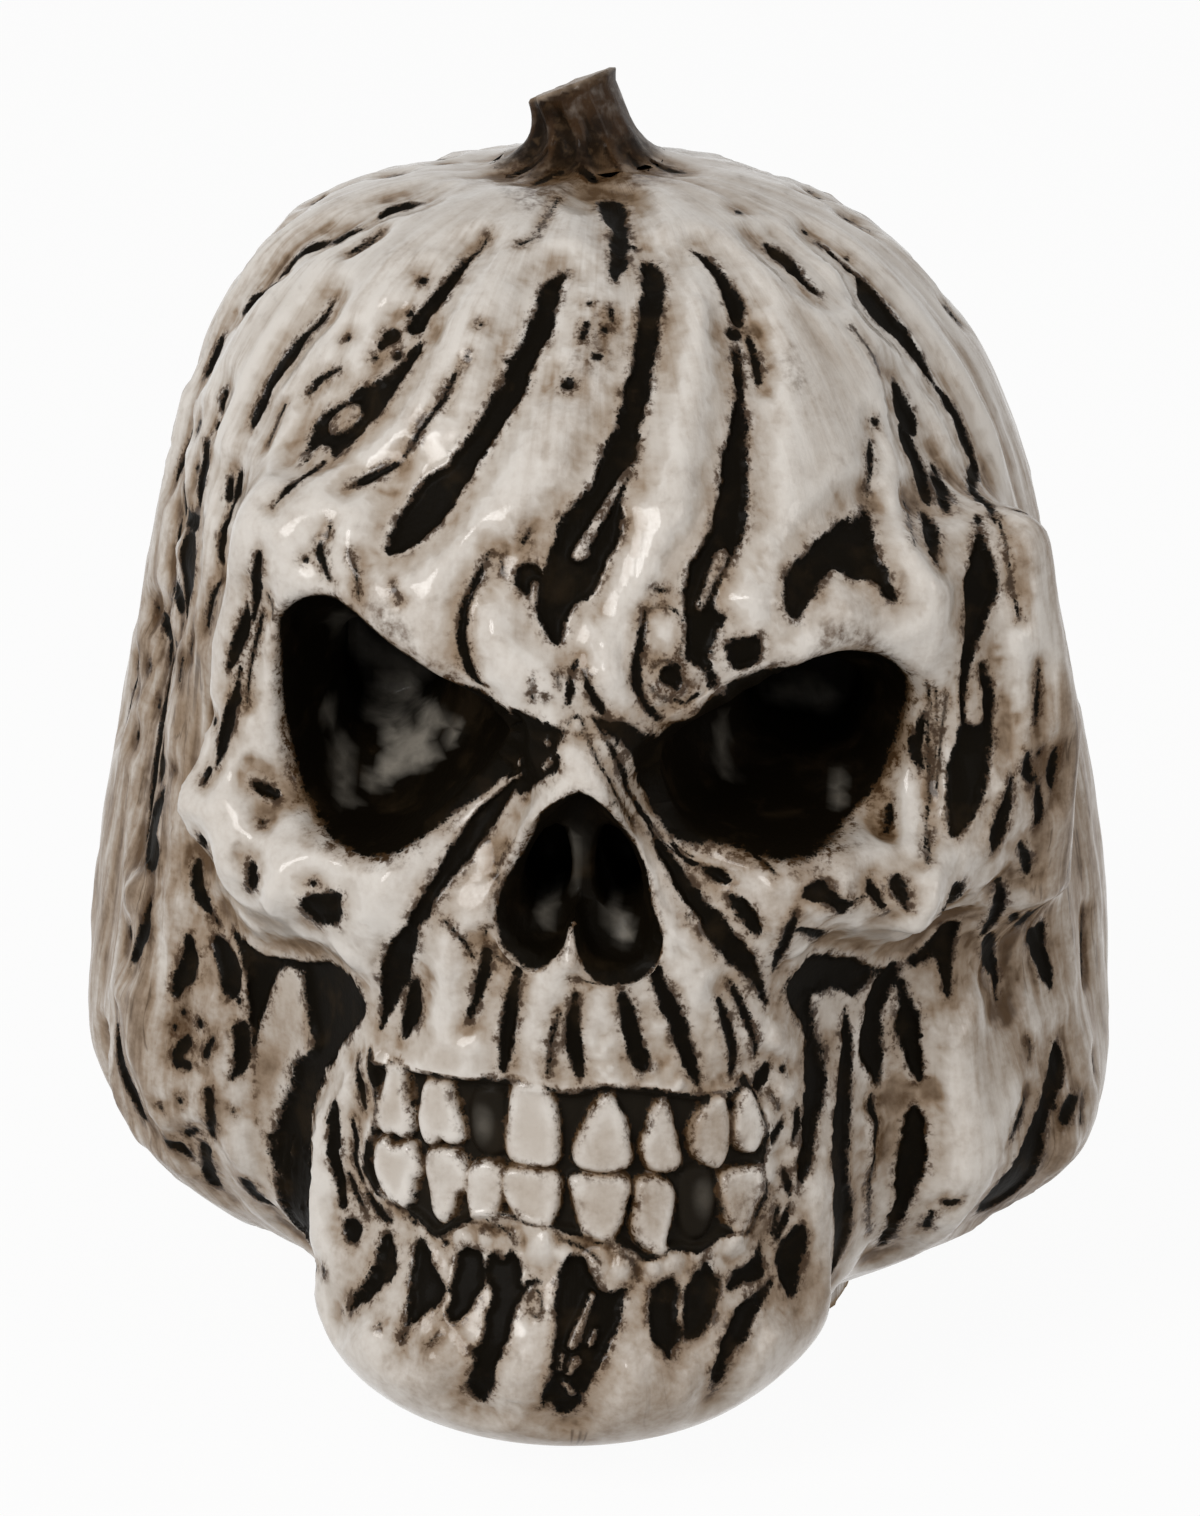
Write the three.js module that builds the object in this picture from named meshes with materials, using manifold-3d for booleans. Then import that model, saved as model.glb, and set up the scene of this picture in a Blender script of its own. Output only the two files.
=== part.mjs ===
// Skull candle holder: a slip-cast stoneware skull in the shape of a pumpkin, glazed ivory over black,
// that stands over a small dish with a tealight. The light shows through the eyes and the nose.
// Millimetres, +Z up. The face looks along -Y, +X is on the viewer's right, and the origin is on the
// table under the middle of its outer size. The forms are drawn round the axis of the foot.

import * as THREE from 'three';
import { mergeVertices } from 'three/addons/utils/BufferGeometryUtils.js';
import loadManifold from 'manifold-3d';

const wasm = await loadManifold();
wasm.setup();

// Overall sizes of the shell
const shellWidth = 151;
const shellDepth = 137;
const crownHeight = 166;
const faceReach = 80;
const hubHeight = 75;
const wall = 5.5;

// How softly one form runs into the next
const broadBlend = 14;
const closeBlend = 9;

// Raised and sunk forms of the skull
const browThickness = 15;
const bridgeThickness = 13;
const cheekboneThickness = 17;
const eyeRimThickness = 11;
const jawCornerThickness = 20;
const lobeDepth = 2.8;
const crownLean = 4.5;
const socketDepth = 17;
const socketThroatDepth = 34;
const noseBowlDepth = 7;
const nostrilDepth = 30;
const nostrilWidth = 8.6;
const septumThickness = 2.6;
const mouthDepth = 4.5;
const toothSetback = 0.8;
const toothRoot = 4.5;
const grooveWidth = 4;
const grooveDepth = 2.4;

// Foot and rear vent. The lift is how far the skull's own base plane is held over the table
const skullLift = 4.4;
const footWidth = 6.5;
const footHeight = 12;
const ventBore = 20;
const ventHeight = 108;

// Stem, which is moulded by itself and set in a shallow seat on the crown
const stemHeight = 15.5;
const stemBaseWidth = 24;
const stemTopWidth = 12;
const stemOffset = 3.5;
const stemSetback = 4;
const stemCutRise = 5;
const stemLean = 1.5;
const stemRibs = 6;
const seatMargin = 0.5;
const seatSink = 1;

// Tealight
const tealightWidth = 39;
const tealightHeight = 15;
const cupWall = 0.6;
const cupFloor = 0.6;
const rimWidth = 0.9;
const rimThickness = 0.6;
const waxFreeboard = 2.2;
const waxMeniscus = 0.8;
const tabWidth = 12;
const tabThickness = 0.6;
const wickWidth = 1.8;
const wickRise = 8;

// Dish under the tealight, and felt pads
const dishThickness = 4;
const dishBevel = 0.8;
const dishMargin = 7.2;
const cupRingHeight = 6;
const cupRingWidth = 3.2;
const padThickness = 1;
const padMargin = 0.45;
const dishPadWidth = 10;
const dishPadInset = 4;

// Clearances
const dishClearance = 0.6;
const cupClearance = 0.5;
const waxClearance = 0.3;
const seatGap = 0.3;
const overrun = 6;
const weldTolerance = 0.0005;

const halfWidth = shellWidth / 2;
const depthShare = shellDepth / shellWidth;
const cupRingInside = tealightWidth / 2 + cupClearance;
const cupRingOutside = cupRingInside + cupRingWidth;
const dishRadius = cupRingOutside + dishMargin;
const boreRadius = dishRadius + dishClearance;
const footBottom = padThickness + seatGap;

// The pumpkin's half outline from crown to foot, as shares of its half width and of its height
const profileShares = [
  [0, 0.985], [0.1, 0.99], [0.265, 1], [0.43, 0.985], [0.583, 0.95], [0.71, 0.88], [0.789, 0.801],
  [0.874, 0.66], [0.945, 0.51], [0.995, 0.361], [1, 0.27], [0.98, 0.21], [0.92, 0.15], [0.8, 0.092],
  [0.68, 0.052], [0.56, 0.028], [0.3, 0.02], [0, 0.02],
];

// The valleys between the pumpkin's lobes: turn from the face, width and depth, all as shares.
// A turn of 1 is a full turn towards the viewer's right, and the lobes are as uneven as a real fruit's
const valleyShares = [
  [-0.462, 0.03, 1], [-0.38, 0.026, 0.9], [-0.3, 0.026, 1.1], [-0.205, 0.022, 0.8],
  [-0.132, 0.02, 1.1], [0.112, 0.018, 1], [0.158, 0.022, 1.6], [0.21, 0.018, 0.7],
  [0.3, 0.026, 1.1], [0.38, 0.026, 0.9], [0.455, 0.026, 1.1],
];

// Solid forms of the skull as [centre, radii], in shares of half width, face reach and crown height
const massShares = {
  forehead: [[0, -0.16, 0.7], [0.74, 0.74, 0.28]],
  maxilla: [[0.01, -0.66, 0.42], [0.46, 0.31, 0.17]],
  mandible: [[-0.01, -0.6, 0.2], [0.5, 0.395, 0.2]],
  chin: [[-0.015, -0.82, 0.106], [0.43, 0.29, 0.096]],
  rightLobe: [[0.62, -0.2, 0.195], [0.34, 0.38, 0.1]],
  leftLobe: [[-0.62, -0.1, 0.23], [0.31, 0.4, 0.1]],
};

// Bars of bone as chains of places, in shares of half width, face reach and crown height
const browShares = [
  [[-0.08, -0.82, 0.68], [-0.3, -0.76, 0.73], [-0.5, -0.65, 0.775]],
  [[0.12, -0.82, 0.665], [0.34, -0.76, 0.715], [0.57, -0.62, 0.73]],
];
const bridgeShares = [[0.01, -0.85, 0.66], [0.02, -0.9, 0.585]];
const cheekboneShares = [
  [[-0.3, -0.82, 0.49], [-0.5, -0.76, 0.48], [-0.64, -0.62, 0.52]],
  [[0.4, -0.82, 0.49], [0.6, -0.73, 0.47], [0.72, -0.56, 0.52]],
];
const eyeRimShares = [
  [[-0.61, -0.62, 0.56], [-0.6, -0.64, 0.66], [-0.53, -0.66, 0.75]],
  [[0.7, -0.6, 0.56], [0.68, -0.6, 0.66], [0.6, -0.62, 0.72]],
];
const jawCornerShares = [
  [[-0.42, -0.7, 0.42], [-0.4, -0.68, 0.26], [-0.3, -0.72, 0.13]],
  [[0.44, -0.68, 0.42], [0.41, -0.68, 0.26], [0.32, -0.72, 0.13]],
];

// Hollows as [centre, radii], in the same shares
const hollowShares = [
  [[-0.55, -0.86, 0.37], [0.1, 0.15, 0.075]],
  [[0.54, -0.86, 0.37], [0.1, 0.16, 0.085]],
  [[-0.06, -0.92, 0.65], [0.035, 0.05, 0.02]],
  [[-0.62, -0.74, 0.28], [0.08, 0.12, 0.13]],
  [[0.64, -0.74, 0.28], [0.08, 0.12, 0.14]],
];

// Outlines of the openings as the viewer sees them, clockwise, in shares of half width and height
const leftEyeShares = [
  [-0.502, 0.723], [-0.425, 0.732], [-0.31, 0.698], [-0.126, 0.654], [-0.115, 0.622], [-0.197, 0.574],
  [-0.307, 0.534], [-0.397, 0.528], [-0.498, 0.549], [-0.539, 0.614], [-0.535, 0.695],
];
const rightEyeShares = [
  [0.163, 0.623], [0.303, 0.664], [0.445, 0.689], [0.53, 0.683], [0.609, 0.657], [0.611, 0.616],
  [0.574, 0.563], [0.51, 0.534], [0.411, 0.534], [0.307, 0.554], [0.191, 0.586],
];
const noseShares = [
  [0.024, 0.587], [0.078, 0.575], [0.123, 0.546], [0.151, 0.505], [0.16, 0.472], [0.135, 0.45],
  [0.064, 0.453], [0.012, 0.469], [-0.036, 0.455], [-0.093, 0.466], [-0.118, 0.499], [-0.091, 0.529],
  [-0.038, 0.563],
];
const mouthShares = [
  [-0.366, 0.355], [-0.117, 0.351], [0.136, 0.345], [0.351, 0.359], [0.426, 0.325], [0.389, 0.271],
  [0.278, 0.222], [0.138, 0.205], [-0.079, 0.223], [-0.246, 0.222], [-0.371, 0.259], [-0.411, 0.307],
];

// A nostril's foot and top as heights, how far it narrows upwards and how far its top leans in
const nostrilHeightShares = [0.478, 0.557];
const nostrilNarrowShare = 0.5;
const nostrilLeanShare = 0.2;

// How far an opening's outline shrinks towards its middle on the way in: [depth share, size share]
const socketTaperShares = [[0, 1], [0.3, 0.97], [0.7, 0.84], [0.95, 0.62], [1, 0.48]];

// Teeth as [middle, height of the middle, width, height], in shares of half width and crown height
const toothShares = [
  [-0.315, 0.322, 0.05, 0.054], [-0.236, 0.315, 0.066, 0.054], [-0.058, 0.312, 0.092, 0.068],
  [0.068, 0.308, 0.1, 0.062], [0.168, 0.307, 0.08, 0.062], [0.262, 0.311, 0.078, 0.058],
  [0.335, 0.316, 0.044, 0.048], [-0.322, 0.257, 0.075, 0.049], [-0.225, 0.252, 0.07, 0.053],
  [-0.144, 0.255, 0.064, 0.045], [-0.06, 0.254, 0.1, 0.053], [0.065, 0.242, 0.11, 0.055],
  [0.166, 0.237, 0.072, 0.064], [0.315, 0.249, 0.08, 0.045],
];

// The power that squares a tooth off, and how a groove's section fades towards its ends
const toothSquareShare = 0.45;
const grooveEndShare = 0.2;
const grooveFadeShare = 0.6;

// The stem's ribs as a share of its radius, and how soon its foot flares
const stemRibShare = 0.09;
const stemFlarePower = 3;

// The deep grooves between the strips of bone: a share of the groove's width, and the line from top to
// bottom as [turn, height] shares
const grooveShares = [
  [1.3, [[-0.012, 0.97], [-0.025, 0.907], [-0.034, 0.864], [-0.044, 0.825], [-0.054, 0.788]]],
  [1.35, [[0.042, 0.979], [0.021, 0.894], [0.011, 0.851], [-0.002, 0.79], [-0.003, 0.723]]],
  [1, [[0.074, 0.93], [0.056, 0.842], [0.05, 0.79], [0.039, 0.697]]],
  [1.1, [[-0.069, 0.982], [-0.079, 0.933], [-0.093, 0.869], [-0.098, 0.836]]],
  [0.8, [[0.173, 0.937], [0.172, 0.88], [0.178, 0.825], [0.183, 0.768]]],
  [1, [[0.17, 0.742], [0.165, 0.69], [0.16, 0.64]]],
  [0.9, [[-0.017, 0.596], [-0.036, 0.516], [-0.044, 0.469], [-0.053, 0.403]]],
  [0.8, [[0.021, 0.586], [0.032, 0.524], [0.053, 0.439], [0.06, 0.404]]],
  [1.4, [[-0.119, 0.41], [-0.116, 0.33], [-0.1, 0.23], [-0.094, 0.152]]],
  [1, [[0.071, 0.413], [0.076, 0.34], [0.072, 0.242]]],
  [0.9, [[0.124, 0.28], [0.121, 0.2], [0.116, 0.133]]],
  [1.2, [[0.183, 0.276], [0.172, 0.232], [0.155, 0.151]]],
  [1.3, [[0.068, 0.737], [0.079, 0.778], [0.096, 0.786], [0.1, 0.739]]],
  [1.2, [[-0.052, 0.207], [-0.056, 0.16], [-0.063, 0.13]]],
  [1.1, [[-0.016, 0.206], [-0.015, 0.164], [-0.019, 0.09]]],
  [1.4, [[0.008, 0.199], [0.006, 0.145], [0, 0.083]]],
  [1.2, [[0.036, 0.19], [0.033, 0.13]]],
  [1, [[0.058, 0.17], [0.047, 0.128], [0.04, 0.088]]],
  [1, [[-0.107, 0.712], [-0.111, 0.66], [-0.117, 0.577]]],
];

// Distances to simple forms, negative inside. Each takes the point as x, y, z
function ballDistance(x, y, z, [cx, cy, cz], [rx, ry, rz]) {
  const near = Math.hypot((x - cx) / rx, (y - cy) / ry, (z - cz) / rz);
  const slope = Math.hypot((x - cx) / rx ** 2, (y - cy) / ry ** 2, (z - cz) / rz ** 2);
  return slope > 0 ? near * (near - 1) / slope : -Math.min(rx, ry, rz);
}

function barDistance(x, y, z, places, radius) {
  let nearest = Infinity;
  for (let i = 1; i < places.length; i += 1) {
    const [ax, ay, az] = places[i - 1];
    const [dx, dy, dz] = places[i].map((value, axis) => value - places[i - 1][axis]);
    const along = ((x - ax) * dx + (y - ay) * dy + (z - az) * dz) / (dx * dx + dy * dy + dz * dz);
    const share = Math.min(1, Math.max(0, along));
    const away = Math.hypot(x - ax - share * dx, y - ay - share * dy, z - az - share * dz);
    nearest = Math.min(nearest, away);
  }
  return nearest - radius;
}

// Joins two distances so that the forms run into each other over the blend's width
function join(first, second, blend) {
  const near = Math.max(blend - Math.abs(first - second), 0);
  return Math.min(first, second) - near * near / (4 * blend);
}

function carve(distance, hollow, blend) {
  return -join(-distance, hollow, blend);
}

// The pumpkin: its outline turned round the axis, read by the angle at which the hub sees it
const profile = new THREE.SplineCurve(profileShares.map(([out, up]) =>
  new THREE.Vector2(out * halfWidth, up * crownHeight)));
const profileTable = profile.getPoints(16 * profileShares.length).map((place) => ({
  angle: Math.atan2(place.x, place.y - hubHeight),
  reach: Math.hypot(place.x, place.y - hubHeight),
}));

function profileReach(angle) {
  let low = 0;
  let high = profileTable.length - 1;
  while (high - low > 1) {
    const middle = Math.floor((low + high) / 2);
    if (profileTable[middle].angle <= angle) low = middle;
    else high = middle;
  }
  const from = profileTable[low];
  const to = profileTable[high];
  const share = (angle - from.angle) / Math.max(to.angle - from.angle, Number.EPSILON);
  return from.reach + (to.reach - from.reach) * Math.min(1, Math.max(0, share));
}

function pumpkinDistance(x, y, z) {
  const deep = y / depthShare;
  const rise = Math.max(0, z - hubHeight) / (crownHeight - hubHeight);
  const across = Math.hypot(x + crownLean * rise ** 3, deep);
  const angle = Math.atan2(across, z - hubHeight);
  const turn = Math.atan2(x, -deep) / (2 * Math.PI);
  let dip = 0;
  for (const [valleyTurn, width, depth] of valleyShares) {
    const apart = Math.abs(turn - valleyTurn);
    const round = Math.min(apart, 1 - apart) / width;
    dip += depth * Math.exp(-round * round);
  }
  const fade = Math.sin(angle) ** 1.5;
  return Math.hypot(across, z - hubHeight) - profileReach(angle) + dip * fade * lobeDepth;
}

// Shares of the face turned into millimetres
const place = ([x, y, z]) => [x * halfWidth, y * faceReach, z * crownHeight];
const masses = Object.values(massShares).map((pair) => pair.map(place));
const hollows = hollowShares.map((pair) => pair.map(place));
const bars = [
  { chains: browShares, thickness: browThickness },
  { chains: [bridgeShares], thickness: bridgeThickness },
  { chains: cheekboneShares, thickness: cheekboneThickness },
  { chains: eyeRimShares, thickness: eyeRimThickness },
  { chains: jawCornerShares, thickness: jawCornerThickness },
].flatMap(({ chains, thickness }) => chains.map((chain) => [chain.map(place), thickness / 2]));

// The skin of the skull: pumpkin, skull masses and bars of bone in one blended form
function skinDistance(x, y, z) {
  let distance = pumpkinDistance(x, y, z);
  for (const [centre, radii] of masses) {
    distance = join(distance, ballDistance(x, y, z, centre, radii), broadBlend);
  }
  for (const [chain, radius] of bars) {
    distance = join(distance, barDistance(x, y, z, chain, radius), closeBlend);
  }
  for (const [centre, radii] of hollows) {
    distance = carve(distance, ballDistance(x, y, z, centre, radii), closeBlend);
  }
  return distance;
}

// The outermost place where a ray towards its start meets the given distance
const outerReach = 1.5 * Math.max(halfWidth, faceReach, crownHeight - hubHeight);
function castInwards(start, direction, distance) {
  const steps = 90;
  const at = (reach) => distance(
    start.x + direction.x * reach,
    start.y + direction.y * reach,
    start.z + direction.z * reach,
  );
  let outside = outerReach;
  let inside = 0;
  for (let i = 1; i <= steps; i += 1) {
    const reach = outerReach * (1 - i / steps);
    if (at(reach) < 0) {
      inside = reach;
      break;
    }
    outside = reach;
  }
  for (let i = 0; i < 14; i += 1) {
    const middle = (outside + inside) / 2;
    if (at(middle) < 0) inside = middle;
    else outside = middle;
  }
  return start.clone().addScaledVector(direction, inside);
}

// Solids from geometry and back
function solid(geometry) {
  const bare = new THREE.BufferGeometry();
  bare.setAttribute('position', geometry.attributes.position);
  bare.setIndex(geometry.index);
  const welded = mergeVertices(bare, weldTolerance);
  const corners = Array.from(welded.index.array);
  const kept = [];
  for (let i = 0; i < corners.length; i += 3) {
    const [a, b, c] = corners.slice(i, i + 3);
    if (a !== b && b !== c && c !== a) kept.push(a, b, c);
  }
  return new wasm.Manifold(new wasm.Mesh({
    numProp: 3,
    vertProperties: welded.attributes.position.array,
    triVerts: Uint32Array.from(kept),
  }));
}

function geometryOf(manifold) {
  const mesh = manifold.getMesh();
  const geometry = new THREE.BufferGeometry();
  geometry.setAttribute('position', new THREE.BufferAttribute(mesh.vertProperties, mesh.numProp));
  geometry.setIndex(new THREE.BufferAttribute(mesh.triVerts, 1));
  geometry.computeVertexNormals();
  return geometry;
}

// A sphere's grid drawn in until it lies on a distance, with its columns crowded towards the face
function wrap(columns, rows, crowding, distance) {
  const geometry = new THREE.SphereGeometry(1, columns, rows);
  const position = geometry.attributes.position;
  const uv = geometry.attributes.uv;
  const hub = new THREE.Vector3(0, 0, hubHeight);
  for (let i = 0; i < position.count; i += 1) {
    const even = 2 * Math.PI * (uv.getX(i) - 0.5);
    const turn = even - crowding * Math.sin(even);
    const polar = Math.PI * (1 - uv.getY(i));
    const flat = Math.sin(polar);
    const direction = new THREE.Vector3(Math.sin(turn) * flat, -Math.cos(turn) * flat, Math.cos(polar));
    const met = castInwards(hub, direction, distance);
    position.setXYZ(i, met.x, met.y, met.z);
  }
  return solid(geometry);
}

// A closed tube of any section: at(turn, rise, out) places each point, out being 0 on the axis
function loft(sides, steps, at) {
  const geometry = new THREE.CylinderGeometry(1, 1, 1, sides, steps);
  const position = geometry.attributes.position;
  for (let i = 0; i < position.count; i += 1) {
    const x = position.getX(i);
    const z = position.getZ(i);
    const out = Math.hypot(x, z);
    const turn = (Math.atan2(x, z) / (2 * Math.PI) + 1) % 1;
    const met = at(turn, position.getY(i) + 0.5, out > 0.5 ? 1 : 0);
    position.setXYZ(i, met.x, met.y, met.z);
  }
  return solid(geometry);
}

// A round solid from its half outline, given as [radius, height] pairs from the bottom axis up
function turned(outline, sides = 40) {
  const points = outline.map(([radius, height]) => new THREE.Vector2(radius, height));
  const geometry = new THREE.LatheGeometry(points, sides);
  geometry.rotateX(Math.PI / 2);
  return solid(geometry);
}

const disc = (radius, bottom, top, sides) =>
  turned([[0, bottom], [radius, bottom], [radius, top], [0, top]], sides);

// An opening of the face: its outline runs straight back and shrinks towards its middle.
// Grown by a margin, the same form is the cup of clay round the opening
function opening(outlineShares, bowlDepth, fullDepth, margin) {
  const outline = new THREE.CatmullRomCurve3(
    outlineShares.map(([x, z]) => new THREE.Vector3(x * halfWidth, 0, z * crownHeight)), true);
  const ring = outline.getSpacedPoints(18).slice(0, -1);
  const middle = ring.reduce((sum, point) => sum.add(point), new THREE.Vector3())
    .divideScalar(ring.length);
  const front = castInwards(new THREE.Vector3(middle.x, 0, middle.z), new THREE.Vector3(0, -1, 0),
    skinDistance).y;
  const stops = [[-outerReach, 1]];
  for (const [depth, size] of socketTaperShares) {
    stops.push([front + depth * bowlDepth + (depth > 0 ? margin : 0), size]);
  }
  if (fullDepth > bowlDepth) stops.push([front + fullDepth, socketTaperShares.at(-1)[1]]);
  return loft(ring.length, stops.length - 1, (turn, rise, out) => {
    const [y, size] = stops[Math.round(rise * (stops.length - 1))];
    const point = ring[Math.round(turn * ring.length) % ring.length].clone().sub(middle);
    const grown = point.clone().setLength(point.length() * size + margin).multiplyScalar(out);
    return new THREE.Vector3(middle.x + grown.x, y, middle.z + grown.z);
  });
}

// One nostril: a leaning drop that goes through beside the septum
function nostril(side, margin) {
  const radius = nostrilWidth / 2 + margin;
  const middle = noseShares[0][0] * halfWidth + side * (septumThickness + nostrilWidth) / 2;
  const [low, high] = nostrilHeightShares.map((share) => share * crownHeight);
  const back = nostrilDepth - faceReach;
  return loft(10, 1, (turn, rise, out) => {
    const angle = 2 * Math.PI * turn;
    const up = (1 + Math.cos(angle)) / 2;
    const across = Math.sin(angle) * (1 - nostrilNarrowShare * up) - side * up * 2 * nostrilLeanShare;
    const height = out ? low - margin + (high - low + 2 * margin) * up : (low + high) / 2;
    return new THREE.Vector3(middle + out * across * radius, back - (back + outerReach) * (1 - rise), height);
  });
}

// The mouth's recess, whose floor follows the skin. With a margin it is the clay behind it
function mouth(margin) {
  const floor = wrap(34, 22, 0.5, (x, y, z) => skinDistance(x, y, z) + mouthDepth + margin);
  return opening(mouthShares, faceReach, faceReach, margin).subtract(floor);
}

// A groove pressed into the skin along a line of turns and heights, fading out at both ends
function groove([widthShare, lineShares]) {
  const places = lineShares.map(([turnShare, upShare]) => {
    const turn = 2 * Math.PI * turnShare;
    const start = new THREE.Vector3(0, 0, upShare * crownHeight);
    return castInwards(start, new THREE.Vector3(Math.sin(turn), -Math.cos(turn), 0), skinDistance);
  });
  const line = new THREE.CatmullRomCurve3(places);
  const hub = new THREE.Vector3(0, 0, hubHeight);
  return loft(4, 2 * lineShares.length - 1, (turn, rise, out) => {
    const centre = line.getPoint(rise);
    const along = line.getTangent(rise);
    const outward = centre.clone().sub(hub).cross(along).cross(along).negate().normalize();
    const across = along.clone().cross(outward);
    const size = out * Math.max(grooveEndShare, Math.sin(Math.PI * rise) ** grooveFadeShare);
    const angle = 2 * Math.PI * turn;
    return centre
      .addScaledVector(outward, size * grooveDepth * Math.cos(angle))
      .addScaledVector(across, size * widthShare * grooveWidth / 2 * Math.sin(angle));
  });
}

// One tooth: a squared egg that stands in the mouth with its root in the wall behind
function tooth([xShare, zShare, widthShare, heightShare]) {
  const x = xShare * halfWidth;
  const z = zShare * crownHeight;
  const front = castInwards(new THREE.Vector3(x, 0, z), new THREE.Vector3(0, -1, 0), skinDistance).y;
  const thickness = mouthDepth - toothSetback + toothRoot;
  const half = new THREE.Vector3(widthShare * halfWidth, thickness, heightShare * crownHeight)
    .divideScalar(2);
  const geometry = new THREE.SphereGeometry(1, 8, 6);
  const position = geometry.attributes.position;
  const square = (value) => Math.sign(value) * Math.abs(value) ** toothSquareShare;
  for (let i = 0; i < position.count; i += 1) {
    const across = square(position.getX(i));
    const up = square(position.getY(i));
    const out = square(position.getZ(i));
    const deep = toothSetback + half.y * (1 - out);
    position.setXYZ(i, x + across * half.x, front + deep, z + up * half.z);
  }
  return solid(geometry);
}

const seatHeight = profileShares[0][1] * crownHeight - seatSink;

function skullShell() {
  const sockets = [
    [leftEyeShares, socketDepth, socketThroatDepth],
    [rightEyeShares, socketDepth, socketThroatDepth],
    [noseShares, noseBowlDepth, noseBowlDepth],
  ];
  const footLow = footBottom - skullLift;
  let shell = wrap(58, 40, 0.57, skinDistance);
  shell = shell.add(disc(boreRadius + footWidth, footLow, footLow + footHeight, 32));
  for (const shares of grooveShares) shell = shell.subtract(groove(shares));

  // The chamber follows the skin a wall's thickness inside it, and leaves clay round each opening
  let chamber = wrap(26, 16, 0.25, (x, y, z) => skinDistance(x, y, z) + wall);
  chamber = chamber.subtract(mouth(wall));
  for (const [outline, bowl] of sockets) chamber = chamber.subtract(opening(outline, bowl, bowl, wall));
  for (const side of [-1, 1]) chamber = chamber.subtract(nostril(side, wall));
  shell = shell.subtract(chamber.decompose().sort((a, b) => b.volume() - a.volume())[0]);

  for (const [outline, bowl, full] of sockets) shell = shell.subtract(opening(outline, bowl, full, 0));
  for (const side of [-1, 1]) shell = shell.subtract(nostril(side, 0));
  shell = shell.subtract(mouth(0));
  for (const shares of toothShares) shell = shell.add(tooth(shares));

  shell = shell.subtract(disc(boreRadius, footLow - overrun, footLow + footHeight + wall, 32));
  const vent = new THREE.CylinderGeometry(ventBore / 2, ventBore / 2, halfWidth, 20);
  vent.translate(0, halfWidth, ventHeight);
  const seat = disc(stemBaseWidth / 2 + seatMargin, seatHeight, crownHeight + overrun, 24);
  return shell.subtract(solid(vent)).subtract(seat.translate([-stemOffset, stemSetback, 0]));
}

// The stem: a ribbed stalk that leans, narrows and twists, and is cut off at a slant
function stem() {
  const bottom = seatHeight + seatGap;
  return loft(24, 7, (turn, rise, out) => {
    const angle = 2 * Math.PI * turn;
    const flare = (1 - rise) ** stemFlarePower;
    const radius = (stemTopWidth + (stemBaseWidth - stemTopWidth) * flare) / 2;
    const rib = 1 + stemRibShare * Math.cos(stemRibs * (angle + rise)) * Math.min(1, stemRibs * rise);
    const x = out * radius * rib * Math.sin(angle);
    const y = out * radius * rib * Math.cos(angle);
    const cut = stemCutRise * (x / stemTopWidth) * rise ** stemFlarePower;
    const lean = stemLean * (Math.sin(Math.PI * rise) - rise);
    return new THREE.Vector3(x + lean - stemOffset, stemSetback - y, bottom + stemHeight * rise + cut);
  });
}

function candleDish() {
  const top = footBottom + dishThickness;
  const ringTop = top + cupRingHeight;
  return turned([
    [0, footBottom], [dishRadius - dishBevel, footBottom], [dishRadius, footBottom + dishBevel],
    [dishRadius, top - dishBevel], [dishRadius - dishBevel, top], [cupRingOutside, top],
    [cupRingOutside, ringTop - dishBevel], [cupRingOutside - dishBevel, ringTop],
    [cupRingInside + dishBevel, ringTop], [cupRingInside, ringTop - dishBevel], [cupRingInside, top],
    [0, top],
  ], 32);
}

const cupBottom = footBottom + dishThickness + seatGap;
const cupInside = cupBottom + cupFloor;
const waxBottom = cupInside + seatGap;
const waxTop = cupBottom + tealightHeight - waxFreeboard;
const tabTop = waxBottom + tabThickness;

function tealightCup() {
  const outside = tealightWidth / 2 - rimWidth;
  const inside = outside - cupWall;
  const top = cupBottom + tealightHeight;
  return turned([
    [0, cupBottom], [outside - cupWall, cupBottom], [outside, cupBottom + cupWall],
    [outside, top - rimThickness], [tealightWidth / 2, top - rimThickness], [tealightWidth / 2, top],
    [inside, top], [inside, cupInside], [0, cupInside],
  ], 28);
}

function tealightWax() {
  const radius = tealightWidth / 2 - rimWidth - cupWall - waxClearance;
  const wickHole = wickWidth / 2 + waxClearance;
  const overTab = tabTop + waxClearance;
  const tabHole = tabWidth / 2 + waxClearance;
  return turned([
    [tabHole, waxBottom], [radius, waxBottom], [radius, waxTop], [radius - waxMeniscus, waxTop - waxMeniscus],
    [wickHole + waxMeniscus, waxTop - waxMeniscus], [wickHole, waxTop], [wickHole, overTab],
    [tabHole, overTab], [tabHole, waxBottom],
  ], 28);
}

// Felt pads: discs set in a ring, each turned by its share of the circle
function padPlaces(count, circle, firstTurn) {
  return Array.from({ length: count }, (_, i) => {
    const angle = 2 * Math.PI * (firstTurn + i / count);
    return new THREE.Vector3(circle * Math.sin(angle), -circle * Math.cos(angle), 0);
  });
}

const finishes = {
  glaze: { color: 0xcdc5b8, roughness: 0.28, metalness: 0 },
  stalk: { color: 0x4a3526, roughness: 0.4, metalness: 0 },
  darkGlaze: { color: 0x1d1916, roughness: 0.25, metalness: 0 },
  aluminium: { color: 0xc4c6c8, roughness: 0.3, metalness: 1 },
  wax: { color: 0xf1ece0, roughness: 0.45, metalness: 0 },
  cotton: { color: 0xe9e4d8, roughness: 0.9, metalness: 0 },
  steel: { color: 0xa8a9ab, roughness: 0.4, metalness: 1 },
  felt: { color: 0x2a2725, roughness: 0.95, metalness: 0 },
};

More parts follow.
